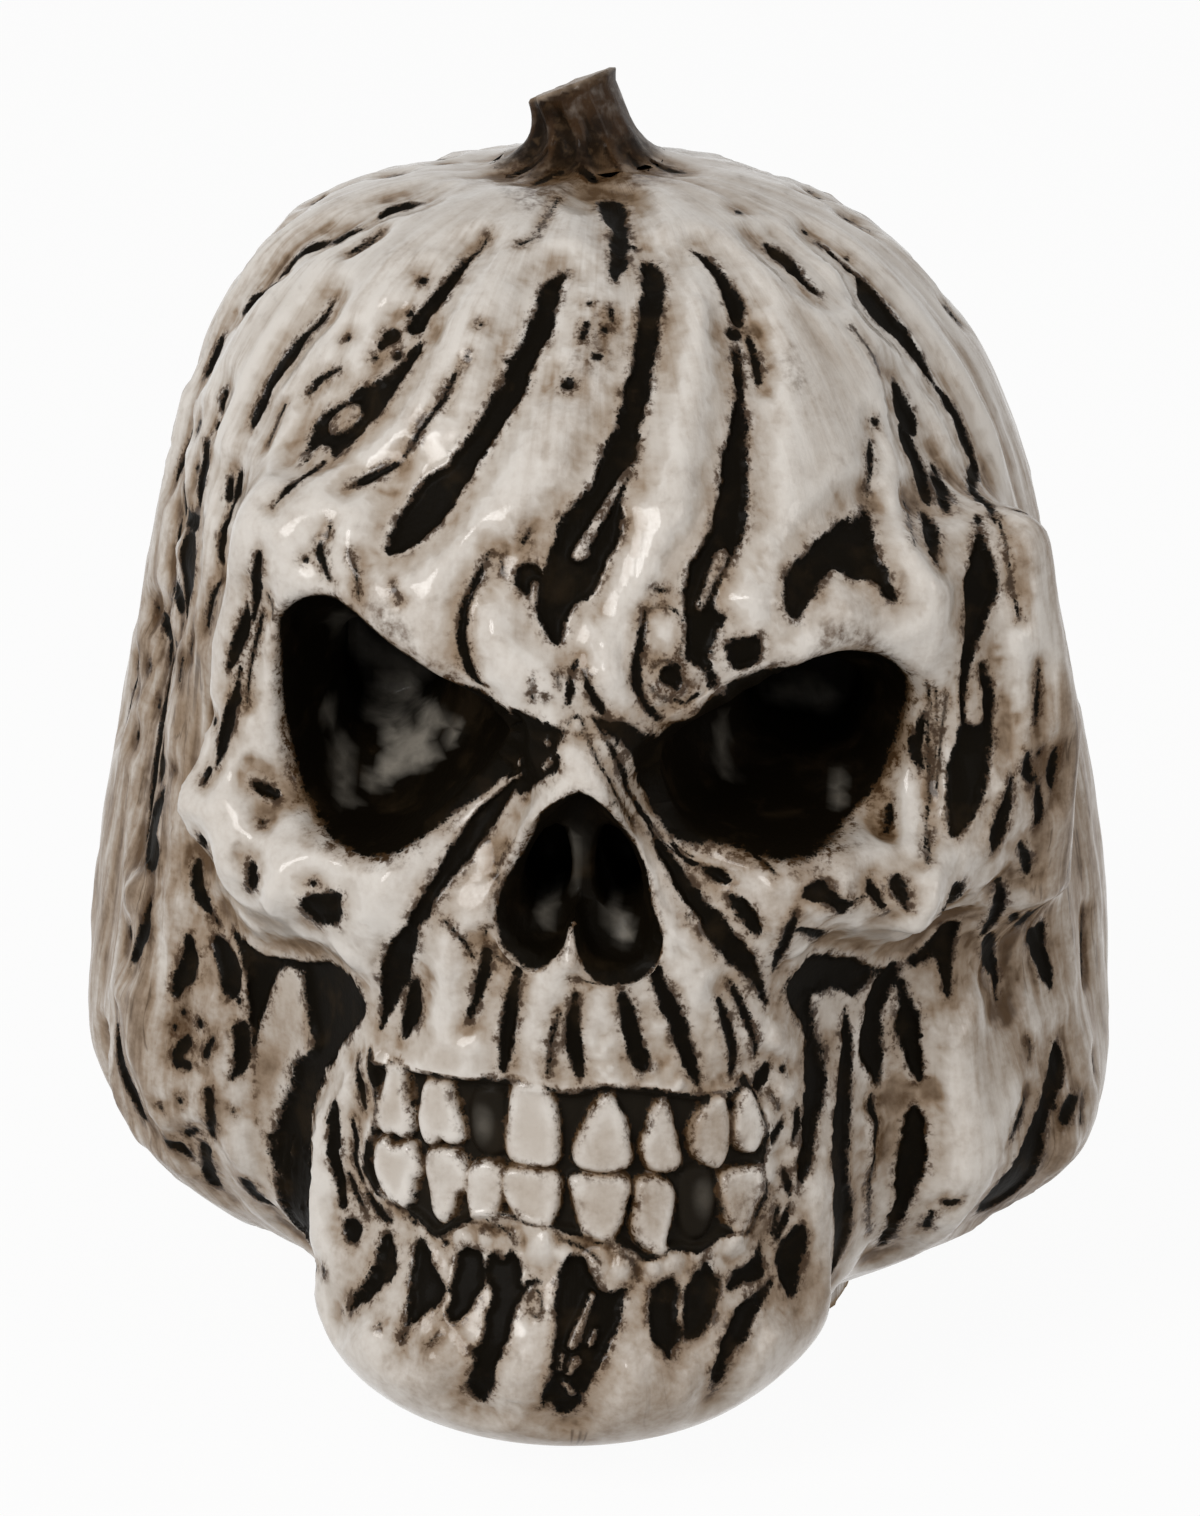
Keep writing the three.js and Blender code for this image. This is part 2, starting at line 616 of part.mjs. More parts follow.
function part(name, manifold, finish) {
  const mesh = new THREE.Mesh(geometryOf(manifold), new THREE.MeshStandardMaterial(finishes[finish]));
  mesh.name = name;
  return mesh;
}

const shellGroup = new THREE.Group();
shellGroup.add(part('skull_shell', skullShell(), 'glaze'));
shellGroup.add(part('stem', stem(), 'stalk'));
shellGroup.position.z = skullLift;

const footPads = new THREE.Group();
padPlaces(4, boreRadius + footWidth / 2, 0.125).forEach((spot, i) => {
  const pad = part(`shell_pad_${i + 1}`, disc(footWidth / 2 - padMargin, 0, padThickness, 16), 'felt');
  pad.position.copy(spot);
  footPads.add(pad);
});

const dishGroup = new THREE.Group();
dishGroup.add(part('candle_dish', candleDish(), 'darkGlaze'));
padPlaces(3, dishRadius - dishPadInset - dishPadWidth / 2, 0).forEach((spot, i) => {
  const pad = part(`dish_pad_${i + 1}`, disc(dishPadWidth / 2, 0, padThickness, 20), 'felt');
  pad.position.copy(spot);
  dishGroup.add(pad);
});

const tealightGroup = new THREE.Group();
tealightGroup.add(part('tealight_cup', tealightCup(), 'aluminium'));
tealightGroup.add(part('tealight_wax', tealightWax(), 'wax'));
tealightGroup.add(part('wick_tab', disc(tabWidth / 2, waxBottom, tabTop, 20), 'steel'));
const wick = disc(wickWidth / 2, tabTop + seatGap, waxTop + wickRise, 10);
tealightGroup.add(part('tealight_wick', wick, 'cotton'));

// The whole holder stands with the middle of its outer size over the origin
const candleHolder = new THREE.Group();
candleHolder.add(shellGroup, footPads, dishGroup, tealightGroup);
candleHolder.updateMatrixWorld(true);
const middle = new THREE.Box3().setFromObject(candleHolder).getCenter(new THREE.Vector3());
candleHolder.position.set(-middle.x, -middle.y, 0);

export default candleHolder;
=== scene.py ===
# %% [markdown]
# # A glazed skull candle holder
# The real object is a slip-cast stoneware skull in the shape of a pumpkin. Ivory glaze lies over a black
# stain, and the stain stays in every groove. The CAD model comes in as a fixed frame, and this lesson builds
# finer pieces over it: the clay, the drawing in its glaze, the candle under it, and the studio round it.

import bpy
import bmesh
import math
import numpy as np
import openvdb
from mathutils import Matrix, Vector


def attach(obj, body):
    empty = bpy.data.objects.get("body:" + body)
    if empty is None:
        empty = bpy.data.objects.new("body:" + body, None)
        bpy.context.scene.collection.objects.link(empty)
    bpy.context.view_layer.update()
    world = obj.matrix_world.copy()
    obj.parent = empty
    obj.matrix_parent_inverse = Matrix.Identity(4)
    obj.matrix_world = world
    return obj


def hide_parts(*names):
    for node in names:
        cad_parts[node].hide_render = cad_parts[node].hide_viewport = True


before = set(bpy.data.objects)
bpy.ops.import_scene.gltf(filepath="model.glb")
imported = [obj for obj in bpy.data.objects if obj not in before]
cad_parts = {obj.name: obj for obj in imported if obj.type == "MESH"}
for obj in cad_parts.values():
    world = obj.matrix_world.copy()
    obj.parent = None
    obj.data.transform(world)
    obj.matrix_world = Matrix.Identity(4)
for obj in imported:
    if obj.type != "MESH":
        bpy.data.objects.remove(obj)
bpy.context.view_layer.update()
print("nodes:", ", ".join(sorted(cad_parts)))

# %% [markdown]
# ## The camera
# The photograph was taken from a little above and a little to the right, with a long lens. The camera could
# be placed by eye, but the whole drawing of the glaze hangs on it, so its numbers are settled first. Clay is
# worked out in millimetres round the axis of the foot, as a potter would turn it on a wheel.

# %% Place the camera
mm_in_metre = 1000
photo_width = 1200
photo_height = 1516
film_height = 36
focal_pixels = 6840
camera_distance = 1000
camera_turn = math.radians(3.5)
camera_rise = math.radians(19)
foot_axis = np.array([0.25, 10.27, 4.4])
aim = np.array([0, 0, 78])

camera_back = np.array([
    math.sin(camera_turn) * math.cos(camera_rise),
    -math.cos(camera_turn) * math.cos(camera_rise),
    math.sin(camera_rise),
])
camera_right = np.array([math.cos(camera_turn), math.sin(camera_turn), 0])
camera_up = np.cross(camera_back, camera_right)
camera_eye = aim + camera_distance * camera_back

camera_data = bpy.data.cameras.new("camera")
camera_data.sensor_fit = "VERTICAL"
camera_data.sensor_height = film_height
camera_data.lens = film_height * focal_pixels / photo_height
camera_data.clip_start = 0.05
camera = bpy.data.objects.new("camera", camera_data)
turned = Matrix(np.column_stack([camera_right, camera_up, camera_back]).tolist()).to_4x4()
stand = Vector(((camera_eye + foot_axis) / mm_in_metre).tolist())
camera.matrix_world = Matrix.Translation(stand) @ turned
bpy.context.collection.objects.link(camera)
bpy.context.scene.camera = camera
print("lens", round(camera_data.lens, 1), "mm")

# %% [markdown]
# ## The clay as a field of distances
# A skull is all soft transitions, which are hard to pull out of a box by hand. Here each form, such as a
# brow or a cheekbone, is a function that says how far a point lies from it, negative inside. Two forms join
# by blending their distances, as wet clay is smeared together, and a hollow is the same blend turned round.

# %% Simple forms and how they join
def ball(points, centre, radii):
    away = (points - centre) / radii
    near = np.linalg.norm(away, axis=1)
    slope = np.linalg.norm(away / radii, axis=1)
    return near * (near - 1) / np.maximum(slope, 1e-6)


def roll_of_clay(points, chain, radius):
    nearest = np.full(len(points), 1e6)
    for start, stop in zip(chain, chain[1:]):
        span = stop - start
        share = np.clip((points - start) @ span / (span @ span), 0, 1)
        nearest = np.minimum(nearest, np.linalg.norm(points - start - share[:, None] * span, axis=1))
    return nearest - radius


def smear(first, second, blend):
    near = np.maximum(blend - np.abs(first - second), 0)
    return np.minimum(first, second) - near * near / (4 * blend)


def hollow_out(clay, hollow, blend):
    return -smear(-clay, hollow, blend)


def smoothstep(value, low, high):
    share = np.clip((value - low) / (high - low), 0, 1)
    return share * share * (3 - 2 * share)


def near_box(points, shape, margin):
    low = np.min(shape, 0) - margin
    high = np.max(shape, 0) + margin
    return ((points > low) & (points < high)).all(1)


def flowing_line(points, steps, closed=False):
    points = np.array(points, float)
    last = len(points) if closed else len(points) - 1
    t = (np.arange(steps) / steps)[:, None]
    line = []
    for i in range(last):
        if closed:
            a, b, c, d = (points[(i + k) % len(points)] for k in (-1, 0, 1, 2))
        else:
            a, b, c, d = (points[min(max(i + k, 0), last)] for k in (-1, 0, 1, 2))
        into = (c - a) / 2
        out = (d - b) / 2
        line.append(b + into * t + (3 * (c - b) - 2 * into - out) * t**2 + (2 * (b - c) + into + out) * t**3)
    if not closed:
        line.append(points[-1:])
    return np.concatenate(line)


# %% [markdown]
# ## The pumpkin
# Under the skull sits a squat pumpkin. Its half outline is turned round the axis like a pot, and its lobes
# are shallow valleys pressed in along the meridians. The numbers are those of the CAD part, so the finer
# clay keeps its exact size.

# %% Turn the pumpkin
half_width = 75.5
face_reach = 80
crown_height = 166
hub_height = 75
depth_share = 137 / 151
crown_lean = 4.5
lobe_depth = 2.8
wall = 5.5

profile_shares = [
    (0, 0.985), (0.1, 0.99), (0.265, 1), (0.43, 0.985), (0.583, 0.95), (0.71, 0.88), (0.789, 0.801),
    (0.874, 0.66), (0.945, 0.51), (0.995, 0.361), (1, 0.27), (0.98, 0.21), (0.92, 0.15), (0.8, 0.092),
    (0.68, 0.052), (0.56, 0.028), (0.3, 0.02), (0, 0.02),
]
valleys = [
    (-0.462, 0.03, 1), (-0.38, 0.026, 0.9), (-0.3, 0.026, 1.1), (-0.205, 0.022, 0.8), (-0.132, 0.02, 1.1),
    (0.112, 0.018, 1), (0.158, 0.022, 1.6), (0.21, 0.018, 0.7), (0.3, 0.026, 1.1), (0.38, 0.026, 0.9),
    (0.455, 0.026, 1.1),
]
profile = flowing_line(profile_shares, 16) * [half_width, crown_height] - [0, hub_height]
profile_angle = np.arctan2(profile[:, 0], profile[:, 1])
profile_reach = np.hypot(profile[:, 0], profile[:, 1])


def turn_of(points):
    return np.arctan2(points[:, 0], -points[:, 1] / depth_share) / (2 * math.pi)


def valley_at(turn):
    dip = 0
    for valley_turn, width, depth in valleys:
        apart = np.abs(turn - valley_turn)
        dip = dip + depth * np.exp(-(np.minimum(apart, 1 - apart) / width) ** 2)
    return dip


def pumpkin(points):
    above = points[:, 2] - hub_height
    rise = np.maximum(above, 0) / (crown_height - hub_height)
    across = np.hypot(points[:, 0] + crown_lean * rise**3, points[:, 1] / depth_share)
    angle = np.arctan2(across, above)
    fade = np.clip(np.sin(angle), 0, 1) ** 1.5
    reach = np.interp(angle, profile_angle, profile_reach)
    return np.hypot(across, above) - reach + valley_at(turn_of(points)) * fade * lobe_depth


# %% [markdown]
# ## The skull's masses
# On the real piece the modeller pressed lumps and rolls of clay on the pumpkin: forehead, jaws, chin, brows,
# the bridge of the nose and the cheekbones. They are given as shares of the overall sizes. One long strand
# down the right temple is the drawing's own, and joins the cheekbone to the flank behind it.

# %% Press on the bones
def placed(*shares):
    return [np.array(share) * [half_width, face_reach, crown_height] for share in shares]


broad_blend = 14
close_blend = 9
masses = {
    "forehead": placed((0, -0.16, 0.7), (0.74, 0.74, 0.28)),
    "maxilla": placed((0.01, -0.66, 0.42), (0.46, 0.31, 0.17)),
    "mandible": placed((-0.01, -0.6, 0.2), (0.5, 0.395, 0.2)),
    "chin": placed((-0.015, -0.82, 0.106), (0.43, 0.29, 0.096)),
    "right_lobe": placed((0.62, -0.2, 0.195), (0.34, 0.38, 0.1)),
    "left_lobe": placed((-0.62, -0.1, 0.23), (0.31, 0.4, 0.1)),
}
rolls = {
    "brow_left": (15, placed((-0.08, -0.82, 0.68), (-0.3, -0.76, 0.73), (-0.5, -0.65, 0.775))),
    "brow_right": (15, placed((0.12, -0.82, 0.665), (0.34, -0.76, 0.715), (0.57, -0.62, 0.73))),
    "bridge": (13, placed((0.01, -0.85, 0.66), (0.02, -0.9, 0.585))),
    "cheekbone_left": (17, placed((-0.3, -0.82, 0.49), (-0.5, -0.76, 0.48), (-0.64, -0.62, 0.52))),
    "cheekbone_right": (17, placed((0.4, -0.82, 0.49), (0.6, -0.73, 0.47), (0.72, -0.56, 0.52))),
    "eye_rim_left": (11, placed((-0.61, -0.62, 0.56), (-0.6, -0.64, 0.66), (-0.53, -0.66, 0.75))),
    "eye_rim_right": (11, placed((0.7, -0.6, 0.56), (0.68, -0.6, 0.66), (0.6, -0.62, 0.72))),
    "temple_right": (20, placed((0.79, -0.44, 0.45), (0.8, -0.46, 0.58), (0.74, -0.46, 0.73))),
    "jaw_left": (20, placed((-0.42, -0.7, 0.42), (-0.4, -0.68, 0.26), (-0.3, -0.72, 0.13))),
    "jaw_right": (20, placed((0.44, -0.68, 0.42), (0.41, -0.68, 0.26), (0.32, -0.72, 0.13))),
}
hollows = {
    "cheek_left": placed((-0.55, -0.86, 0.37), (0.1, 0.15, 0.075)),
    "cheek_right": placed((0.54, -0.86, 0.37), (0.1, 0.16, 0.085)),
    "beside_jaw_left": placed((-0.62, -0.74, 0.28), (0.08, 0.12, 0.13)),
    "beside_jaw_right": placed((0.64, -0.74, 0.28), (0.08, 0.12, 0.14)),
}


def skin(points):
    clay = pumpkin(points)
    for centre, radii in masses.values():
        clay = smear(clay, ball(points, centre, radii), broad_blend)
    for thickness, chain in rolls.values():
        clay = smear(clay, roll_of_clay(points, chain, thickness / 2), close_blend)
    for centre, radii in hollows.values():
        clay = hollow_out(clay, ball(points, centre, radii), close_blend)
    return clay


print(len(masses), "masses,", len(rolls), "rolls,", len(hollows), "hollows")

# %% [markdown]
# ## Eyes, nose, chamber and foot
# The potter cuts the eyes and nose through the wet wall with a knife, and the wall bends in a little round
# each cut. Each opening is its outline seen from the front, run straight back, and shrunk towards its middle
# on the way in, so the eye is a bowl that narrows to a throat. The chamber is the same skin, a wall's
# thickness further in.

# %% Outlines of the openings
left_eye = [
    (-0.502, 0.723), (-0.425, 0.732), (-0.31, 0.698), (-0.126, 0.654), (-0.115, 0.622), (-0.197, 0.574),
    (-0.307, 0.534), (-0.397, 0.528), (-0.498, 0.549), (-0.539, 0.614), (-0.535, 0.695),
]
right_eye = [
    (0.163, 0.618), (0.303, 0.664), (0.445, 0.689), (0.53, 0.683), (0.609, 0.657), (0.611, 0.616),
    (0.578, 0.561), (0.51, 0.538), (0.411, 0.532), (0.3, 0.538), (0.2, 0.555),
]
nose = [
    (0.024, 0.597), (0.06, 0.586), (0.093, 0.563), (0.124, 0.531), (0.148, 0.498), (0.162, 0.468),
    (0.138, 0.447), (0.098, 0.44), (0.06, 0.441), (0.03, 0.455), (0.01, 0.493), (-0.011, 0.463),
    (-0.052, 0.45), (-0.094, 0.46), (-0.123, 0.482), (-0.117, 0.51), (-0.07, 0.552), (-0.02, 0.581),
]
taper = flowing_line([(0, 1), (0.3, 0.97), (0.62, 0.87), (0.82, 0.74), (1, 0.59), (1.2, 0.5), (1.5, 0.48)], 6)
nostril_width = 8.6
septum = 2.6
nostril_heights = (0.478 * crown_height, 0.557 * crown_height)
nostril_back = -50
before_face = -95
behind_face = -20


def outline_distance(flat, outline):
    nearest = np.full(len(flat), 1e9)
    inside = np.zeros(len(flat), bool)
    for start, stop in zip(outline, np.roll(outline, -1, axis=0)):
        edge = stop - start
        share = np.clip(((flat - start) @ edge) / max(edge @ edge, 1e-9), 0, 1)
        away = flat - start - share[:, None] * edge
        nearest = np.minimum(nearest, (away * away).sum(1))
        if edge[1] != 0:
            crossing = start[0] + edge[0] * (flat[:, 1] - start[1]) / edge[1]
            between = (start[1] > flat[:, 1]) != (stop[1] > flat[:, 1])
            inside ^= between & (flat[:, 0] < crossing)
    return np.where(inside, -1, 1) * np.sqrt(nearest)


def front_of(x, z):
    line = np.column_stack([np.full(300, x), np.linspace(before_face, behind_face, 300), np.full(300, z)])
    return line[np.argmax(skin(line) < 0), 1]


class Opening:
    def __init__(self, shares, bowl, full):
        self.outline = flowing_line(shares, 3, closed=True) * [half_width, crown_height]
        self.middle = self.outline.mean(0)
        self.front = front_of(*self.middle)
        self.bowl = bowl
        self.full = full

    def distance(self, points):
        depth = points[:, 1] - self.front
        size = np.interp(depth / self.bowl, taper[:, 0], taper[:, 1])
        flat = (points[:, [0, 2]] - self.middle) / size[:, None] + self.middle
        return np.maximum(outline_distance(flat, self.outline) * size, depth - self.full)

    def near(self, points, margin):
        in_front = points[:, 1] < self.front + self.full + margin
        return near_box(points[:, [0, 2]], self.outline, margin) & in_front


class Nostril(Opening):
    def __init__(self, side):
        low, high = nostril_heights
        angle = np.linspace(0, 2 * math.pi, 20, endpoint=False)
        up = (1 + np.cos(angle)) / 2
        across = np.sin(angle) * (1 - 0.5 * up) - side * up * 0.4
        middle = nose[0][0] * half_width + side * (septum + nostril_width) / 2
        self.outline = np.column_stack([middle + across * nostril_width / 2, low + (high - low) * up])
        self.middle = self.outline.mean(0)
        self.front = before_face
        self.full = nostril_back - before_face

    def distance(self, points):
        side = outline_distance(points[:, [0, 2]], self.outline)
        return np.maximum(side, points[:, 1] - nostril_back)


openings = [
    (Opening(left_eye, 17, 34), 2.6),
    (Opening(right_eye, 17, 34), 2.6),
    (Opening(nose, 7, 7), 2.2),
    (Nostril(-1), 1.6),
    (Nostril(1), 1.6),
]
print("eyes and nose open at y =", [round(float(cut.front), 1) for cut, _ in openings[:3]])

# %% [markdown]
# ## The stalk
# The stalk is a tapered roll of clay, cut off at a slant and pressed on the crown so that its foot flares out
# in ribs of unequal strength. It blends into the skin in the same field, so light finds no step at its foot.

# %% Stalk, foot and the whole clay
stalk_foot = 0.985 * crown_height - 0.7
stalk_height = 15.5
stalk_base = 29
stalk_top = 14.6
stalk_x = -3.3
stalk_y = 4
stalk_lean = 1.5
stalk_flare = 2.6
stalk_twist = 0.25
stalk_slant = (0.4, -0.16)
stalk_blend = 7
stalk_lowest = crown_height - 12
stalk_folds = [
    (-2.5, 0.5, 1.5), (-1.55, 0.3, 1.6), (-0.85, 0.2, 2.1), (-0.15, 0.16, 1.3), (0.42, 0.18, 1.9),
    (0.95, 0.2, 1.4), (1.6, 0.3, 1.2), (2.6, 0.5, 1.5),
]
foot_bottom = -3.1
foot_top = foot_bottom + 12
foot_radius = 37.5
bore_radius = 31
vent_radius = 10
vent_height = 108
mouth = [
    (-0.366, 0.355), (-0.117, 0.351), (0.136, 0.345), (0.351, 0.359), (0.426, 0.325), (0.389, 0.271),
    (0.278, 0.222), (0.138, 0.205), (-0.079, 0.223), (-0.246, 0.222), (-0.371, 0.259), (-0.411, 0.307),
]
mouth_outline = flowing_line(mouth, 2, closed=True) * [half_width, crown_height]
mouth_depth = 4.5
around_openings = wall + 4
chamber_blend = 2
foot_blend = 2
vent_blend = 2
bore_blend = 1


def stalk_cut(points):
    rise = stalk_slant[0] * (points[:, 0] - stalk_x) + stalk_slant[1] * (points[:, 1] - stalk_y)
    return points[:, 2] - stalk_foot - stalk_height - 0.45 - rise


def stalk(points):
    rise = np.clip((points[:, 2] - stalk_foot) / stalk_height, 0, 1)
    lean = stalk_lean * (np.sin(math.pi * rise) - rise)
    x = points[:, 0] - stalk_x - lean
    y = points[:, 1] - stalk_y
    radius = (stalk_top + (stalk_base - stalk_top) * (1 - rise) ** stalk_flare) / 2
    angle = np.arctan2(x, -y) + stalk_twist * rise
    fold = 0
    for fold_turn, width, depth in stalk_folds:
        fold = fold + depth * np.exp(-((angle - fold_turn) / width) ** 2)
    side = np.hypot(x, y) - radius + fold * (1 - 0.72 * rise)
    return -smear(-side * 0.9, -stalk_cut(points), 1.0)


def clay_field(points):
    outside = skin(points)
    ring = np.hypot(points[:, 0], points[:, 1])
    foot = np.maximum(ring - foot_radius, np.maximum(foot_bottom - points[:, 2], points[:, 2] - foot_top))
    clay = smear(outside, foot, foot_blend)
    chamber = outside + wall
    in_front = points[:, 1] < behind_face
    some = points[in_front]
    behind_mouth = np.maximum(outline_distance(some[:, [0, 2]], mouth_outline) - wall,
                              -outside[in_front] - mouth_depth - wall)
    chamber[in_front] = np.maximum(chamber[in_front], -behind_mouth)
    for cut, _ in openings:
        near = cut.near(points, around_openings)
        chamber[near] = hollow_out(chamber[near], cut.distance(points[near]) - wall, chamber_blend)
    clay = np.maximum(clay, -chamber)
    for cut, blend in openings:
        near = cut.near(points, around_openings)
        clay[near] = hollow_out(clay[near], cut.distance(points[near]), blend)
    bore = np.maximum(ring - bore_radius, points[:, 2] - foot_top - wall)
    clay = hollow_out(clay, bore, bore_blend)
    vent = np.hypot(points[:, 0], points[:, 2] - vent_height) - vent_radius
    clay = np.where(points[:, 1] > 20, hollow_out(clay, vent, vent_blend), clay)
    on_top = points[:, 2] > stalk_lowest
    clay[on_top] = smear(clay[on_top], stalk(points[on_top]), stalk_blend)
    return clay


# %% [markdown]
# ## From the field to a mesh
# OpenVDB turns a grid of distances into quads, as it does behind Blender's remesh modifiers. A coarse grid
# finds where the surface runs, and only the cells near it are worked out finely. Then each corner steps
# along the slope of the field until it lies exactly on the clay.

# %% Mesh the clay
pitch = 1.8
coarse_step = 3
flattest_slope = 0.2
longest_move = 0.5
grid_low = np.array([-80, -93, -8])
grid_high = np.array([80, 73, 186])


def in_batches(field, points, batch=150000):
    return np.concatenate([field(points[i:i + batch]) for i in range(0, len(points), batch)])


def grid_points(low, step, counts):
    axes = [low[axis] + step * np.arange(counts[axis]) for axis in range(3)]
    return np.stack(np.meshgrid(*axes, indexing="ij"), -1).reshape(-1, 3)


blocks = np.ceil((grid_high - grid_low) / (coarse_step * pitch)).astype(int)
counts = coarse_step * blocks
distances = in_batches(clay_field, grid_points(grid_low + pitch, coarse_step * pitch, blocks)).reshape(blocks)
for axis in range(3):
    distances = distances.repeat(coarse_step, axis)
distances = distances.reshape(-1)
close = np.abs(distances) < 3.2 * pitch + 1
fine_points = grid_points(grid_low, pitch, counts)
distances[close] = in_batches(clay_field, fine_points[close])
grid = openvdb.FloatGrid(10.0)
grid.copyFromArray(distances.reshape(counts).astype(np.float32))
corners, quads = grid.convertToQuads()
corners = corners * pitch + grid_low
print(close.sum(), "cells near the clay,", len(quads), "quads")


def settle(points, rounds=2, reach=0.05):
    for _ in range(rounds):
        value = in_batches(clay_field, points)
        slope = np.stack([
            (in_batches(clay_field, points + step) - value) / reach for step in np.eye(3) * reach
        ], 1)
        move = slope * (value / np.maximum((slope * slope).sum(1), flattest_slope))[:, None]
        far = np.linalg.norm(move, axis=1)
        points = points - move * np.minimum(1, longest_move / np.maximum(far, 1e-9))[:, None]
    return points


# %% [markdown]
# ## Finer quads where the eye looks
# The outside carries the drawing, so its quads are split in four, and the chamber keeps the coarse ones.
# Later the quads near a drawn mark are split once more. A subdivision modifier would split everything and
# also shrink it, so the split is done in bmesh.

# %% Split the outer quads
outside_from = -1.5


def as_mesh(name, points, faces):
    mesh = bpy.data.meshes.new(name)
    mesh.from_pydata(points.tolist(), [], [list(face) for face in faces])
    mesh.update()
    return mesh


def split_quads(mesh, chosen):
    body = bmesh.new()
    body.from_mesh(mesh)
    body.faces.ensure_lookup_table()
    edges = {edge for index in np.flatnonzero(chosen) for edge in body.faces[index].edges}
    bmesh.ops.subdivide_edges(body, edges=list(edges), cuts=1, use_grid_fill=True)
    body.to_mesh(mesh)
    body.free()
    mesh.update()


def vectors_of(items, field):
    flat = np.empty(3 * len(items), np.float32)
    items.foreach_get(field, flat)
    return flat.reshape(-1, 3).astype(float)


def set_corners(mesh, points):
    mesh.vertices.foreach_set("co", points.astype(np.float32).ravel())
    mesh.update()


corners = settle(corners)
clay_mesh = as_mesh("glazed_clay", corners, quads)
split_quads(clay_mesh, in_batches(skin, vectors_of(clay_mesh.polygons, "center")) > outside_from)
corners = settle(vectors_of(clay_mesh.vertices, "co"), 1)
set_corners(clay_mesh, corners)
print(len(clay_mesh.vertices), "corners,", len(clay_mesh.polygons), "faces")

# %% [markdown]
# ## Drawing on the clay
# The modeller pressed every groove by hand, so no pattern can stand in for them. Each one is drawn here as
# it is seen in the photograph: a stroke is a line of (x, y, half width) in the photograph's pixels, and a
# patch is an outline of (x, y). Each becomes a string of balls that is thrown from the camera on the clay.
# The first number in a call of draw says how strongly its shapes sink. Islands stay bare inside them.

# %% Strokes and patches in the photograph's pixels
step_along = 2.5
step_inside = 3
least_reach = 0.8


def balls_of_stroke(points):
    points = np.array(points, float)
    if len(points) == 1:
        return points, np.zeros((1, 2))
    line = flowing_line(points, 12)
    gaps = np.linalg.norm(np.diff(line[:, :2], axis=0), axis=1)
    along = np.concatenate([[0], np.cumsum(gaps)])
    marks = np.linspace(0, along[-1], max(2, int(along[-1] / step_along) + 1))
    balls = np.column_stack([np.interp(marks, along, line[:, axis]) for axis in range(3)])
    run = np.gradient(balls[:, :2], axis=0)
    run = run / np.maximum(np.linalg.norm(run, axis=1), 1e-6)[:, None]
    return balls, np.column_stack([-run[:, 1], run[:, 0]])


def balls_of_patch(outline):
    outline = flowing_line(outline, 4, closed=True)
    low = outline.min(0)
    high = outline.max(0)
    sides = [np.arange(low[axis], high[axis], step_inside) for axis in range(2)]
    spots = np.stack(np.meshgrid(*sides), -1).reshape(-1, 2)
    reach = -outline_distance(spots, outline)
    kept = reach > least_reach
    return np.column_stack([spots[kept], reach[kept]]), np.zeros((kept.sum(), 2))


def balls_of(shape):
    return balls_of_stroke(shape) if len(shape[0]) == 3 else balls_of_patch(shape)


drawing = []


def draw(sink, *shapes, islands=()):
    for shape in shapes:
        drawing.append((sink, shape, islands))


# %% [markdown]
# ## Grooves of the brow and crown
# Long grooves run down from the stalk like wet strands. The deepest ones swing round the forehead towards the
# bridge of the nose, and pale islands of glaze stand in the wide ones.

# %% Draw the forehead
draw(2.3, [(562, 274, 4), (550, 288, 9), (546, 305, 10), (540, 325, 12), (528, 350, 12), (515, 378, 13),
    (502, 402, 14), (488, 425, 13), (474, 448, 13), (458, 470, 15), (440, 492, 20), (420, 515, 20),
    (403, 538, 13), (393, 548, 5)])
draw(2.4, [(642, 262), (641, 300), (636, 332), (631, 365), (624, 395), (613, 430), (600, 455), (590, 485),
    (572, 505), (560, 522), (552, 545), (545, 570), (543, 575), (530, 562), (518, 568), (517, 585),
    (528, 598), (534, 610), (540, 625), (550, 640), (560, 646), (567, 632), (570, 615), (578, 605),
    (590, 598), (600, 578), (612, 552), (621, 528), (622, 500), (630, 478), (638, 455), (640, 428),
    (646, 402), (652, 378), (657, 350), (661, 322), (665, 290), (663, 268), (653, 258)],
    islands=[[(637, 462, 2), (623, 478, 3), (607, 505, 4), (592, 530, 5), (578, 555, 6)], [(583, 553, 6)],
    [(535, 585, 3), (533, 600, 4), (530, 615, 3)]])
draw(2.4, [(736, 345), (735, 380), (733, 410), (729, 435), (723, 460), (719, 490), (713, 515), (708, 535),
    (702, 550), (690, 562), (685, 580), (683, 600), (684, 620), (685, 650), (690, 665), (705, 670),
    (712, 690), (722, 698), (718, 680), (712, 660), (714, 642), (722, 625), (718, 612), (714, 600),
    (716, 592), (722, 580), (728, 568), (735, 555), (742, 540), (747, 520), (748, 490), (747, 410),
    (745, 380), (742, 345)], islands=[[(722, 548), (728, 552), (725, 565), (716, 580), (708, 598),
    (702, 610), (697, 605), (704, 588), (710, 570), (716, 556)], [(688, 667, 6)], [(723, 632, 6),
    (724, 650, 7)]])
draw(1.9, [(694, 250, 2), (706, 258, 5), (718, 270, 5), (727, 284, 6), (736, 300, 8), (740, 315, 6)],
    [(737, 328, 8)], [(753, 330, 2), (757, 345, 4), (760, 360, 5), (762, 378, 3)])
draw(2.0, [(608, 200, 7), (615, 212, 10), (619, 225, 9), (621, 240, 10), (620, 255, 8), (616, 268, 5),
    (615, 277, 2)])
draw(1.9, [(473, 250, 1), (465, 258, 3), (455, 272, 5), (445, 285, 5), (435, 297, 6), (422, 310, 7),
    (412, 322, 8)])
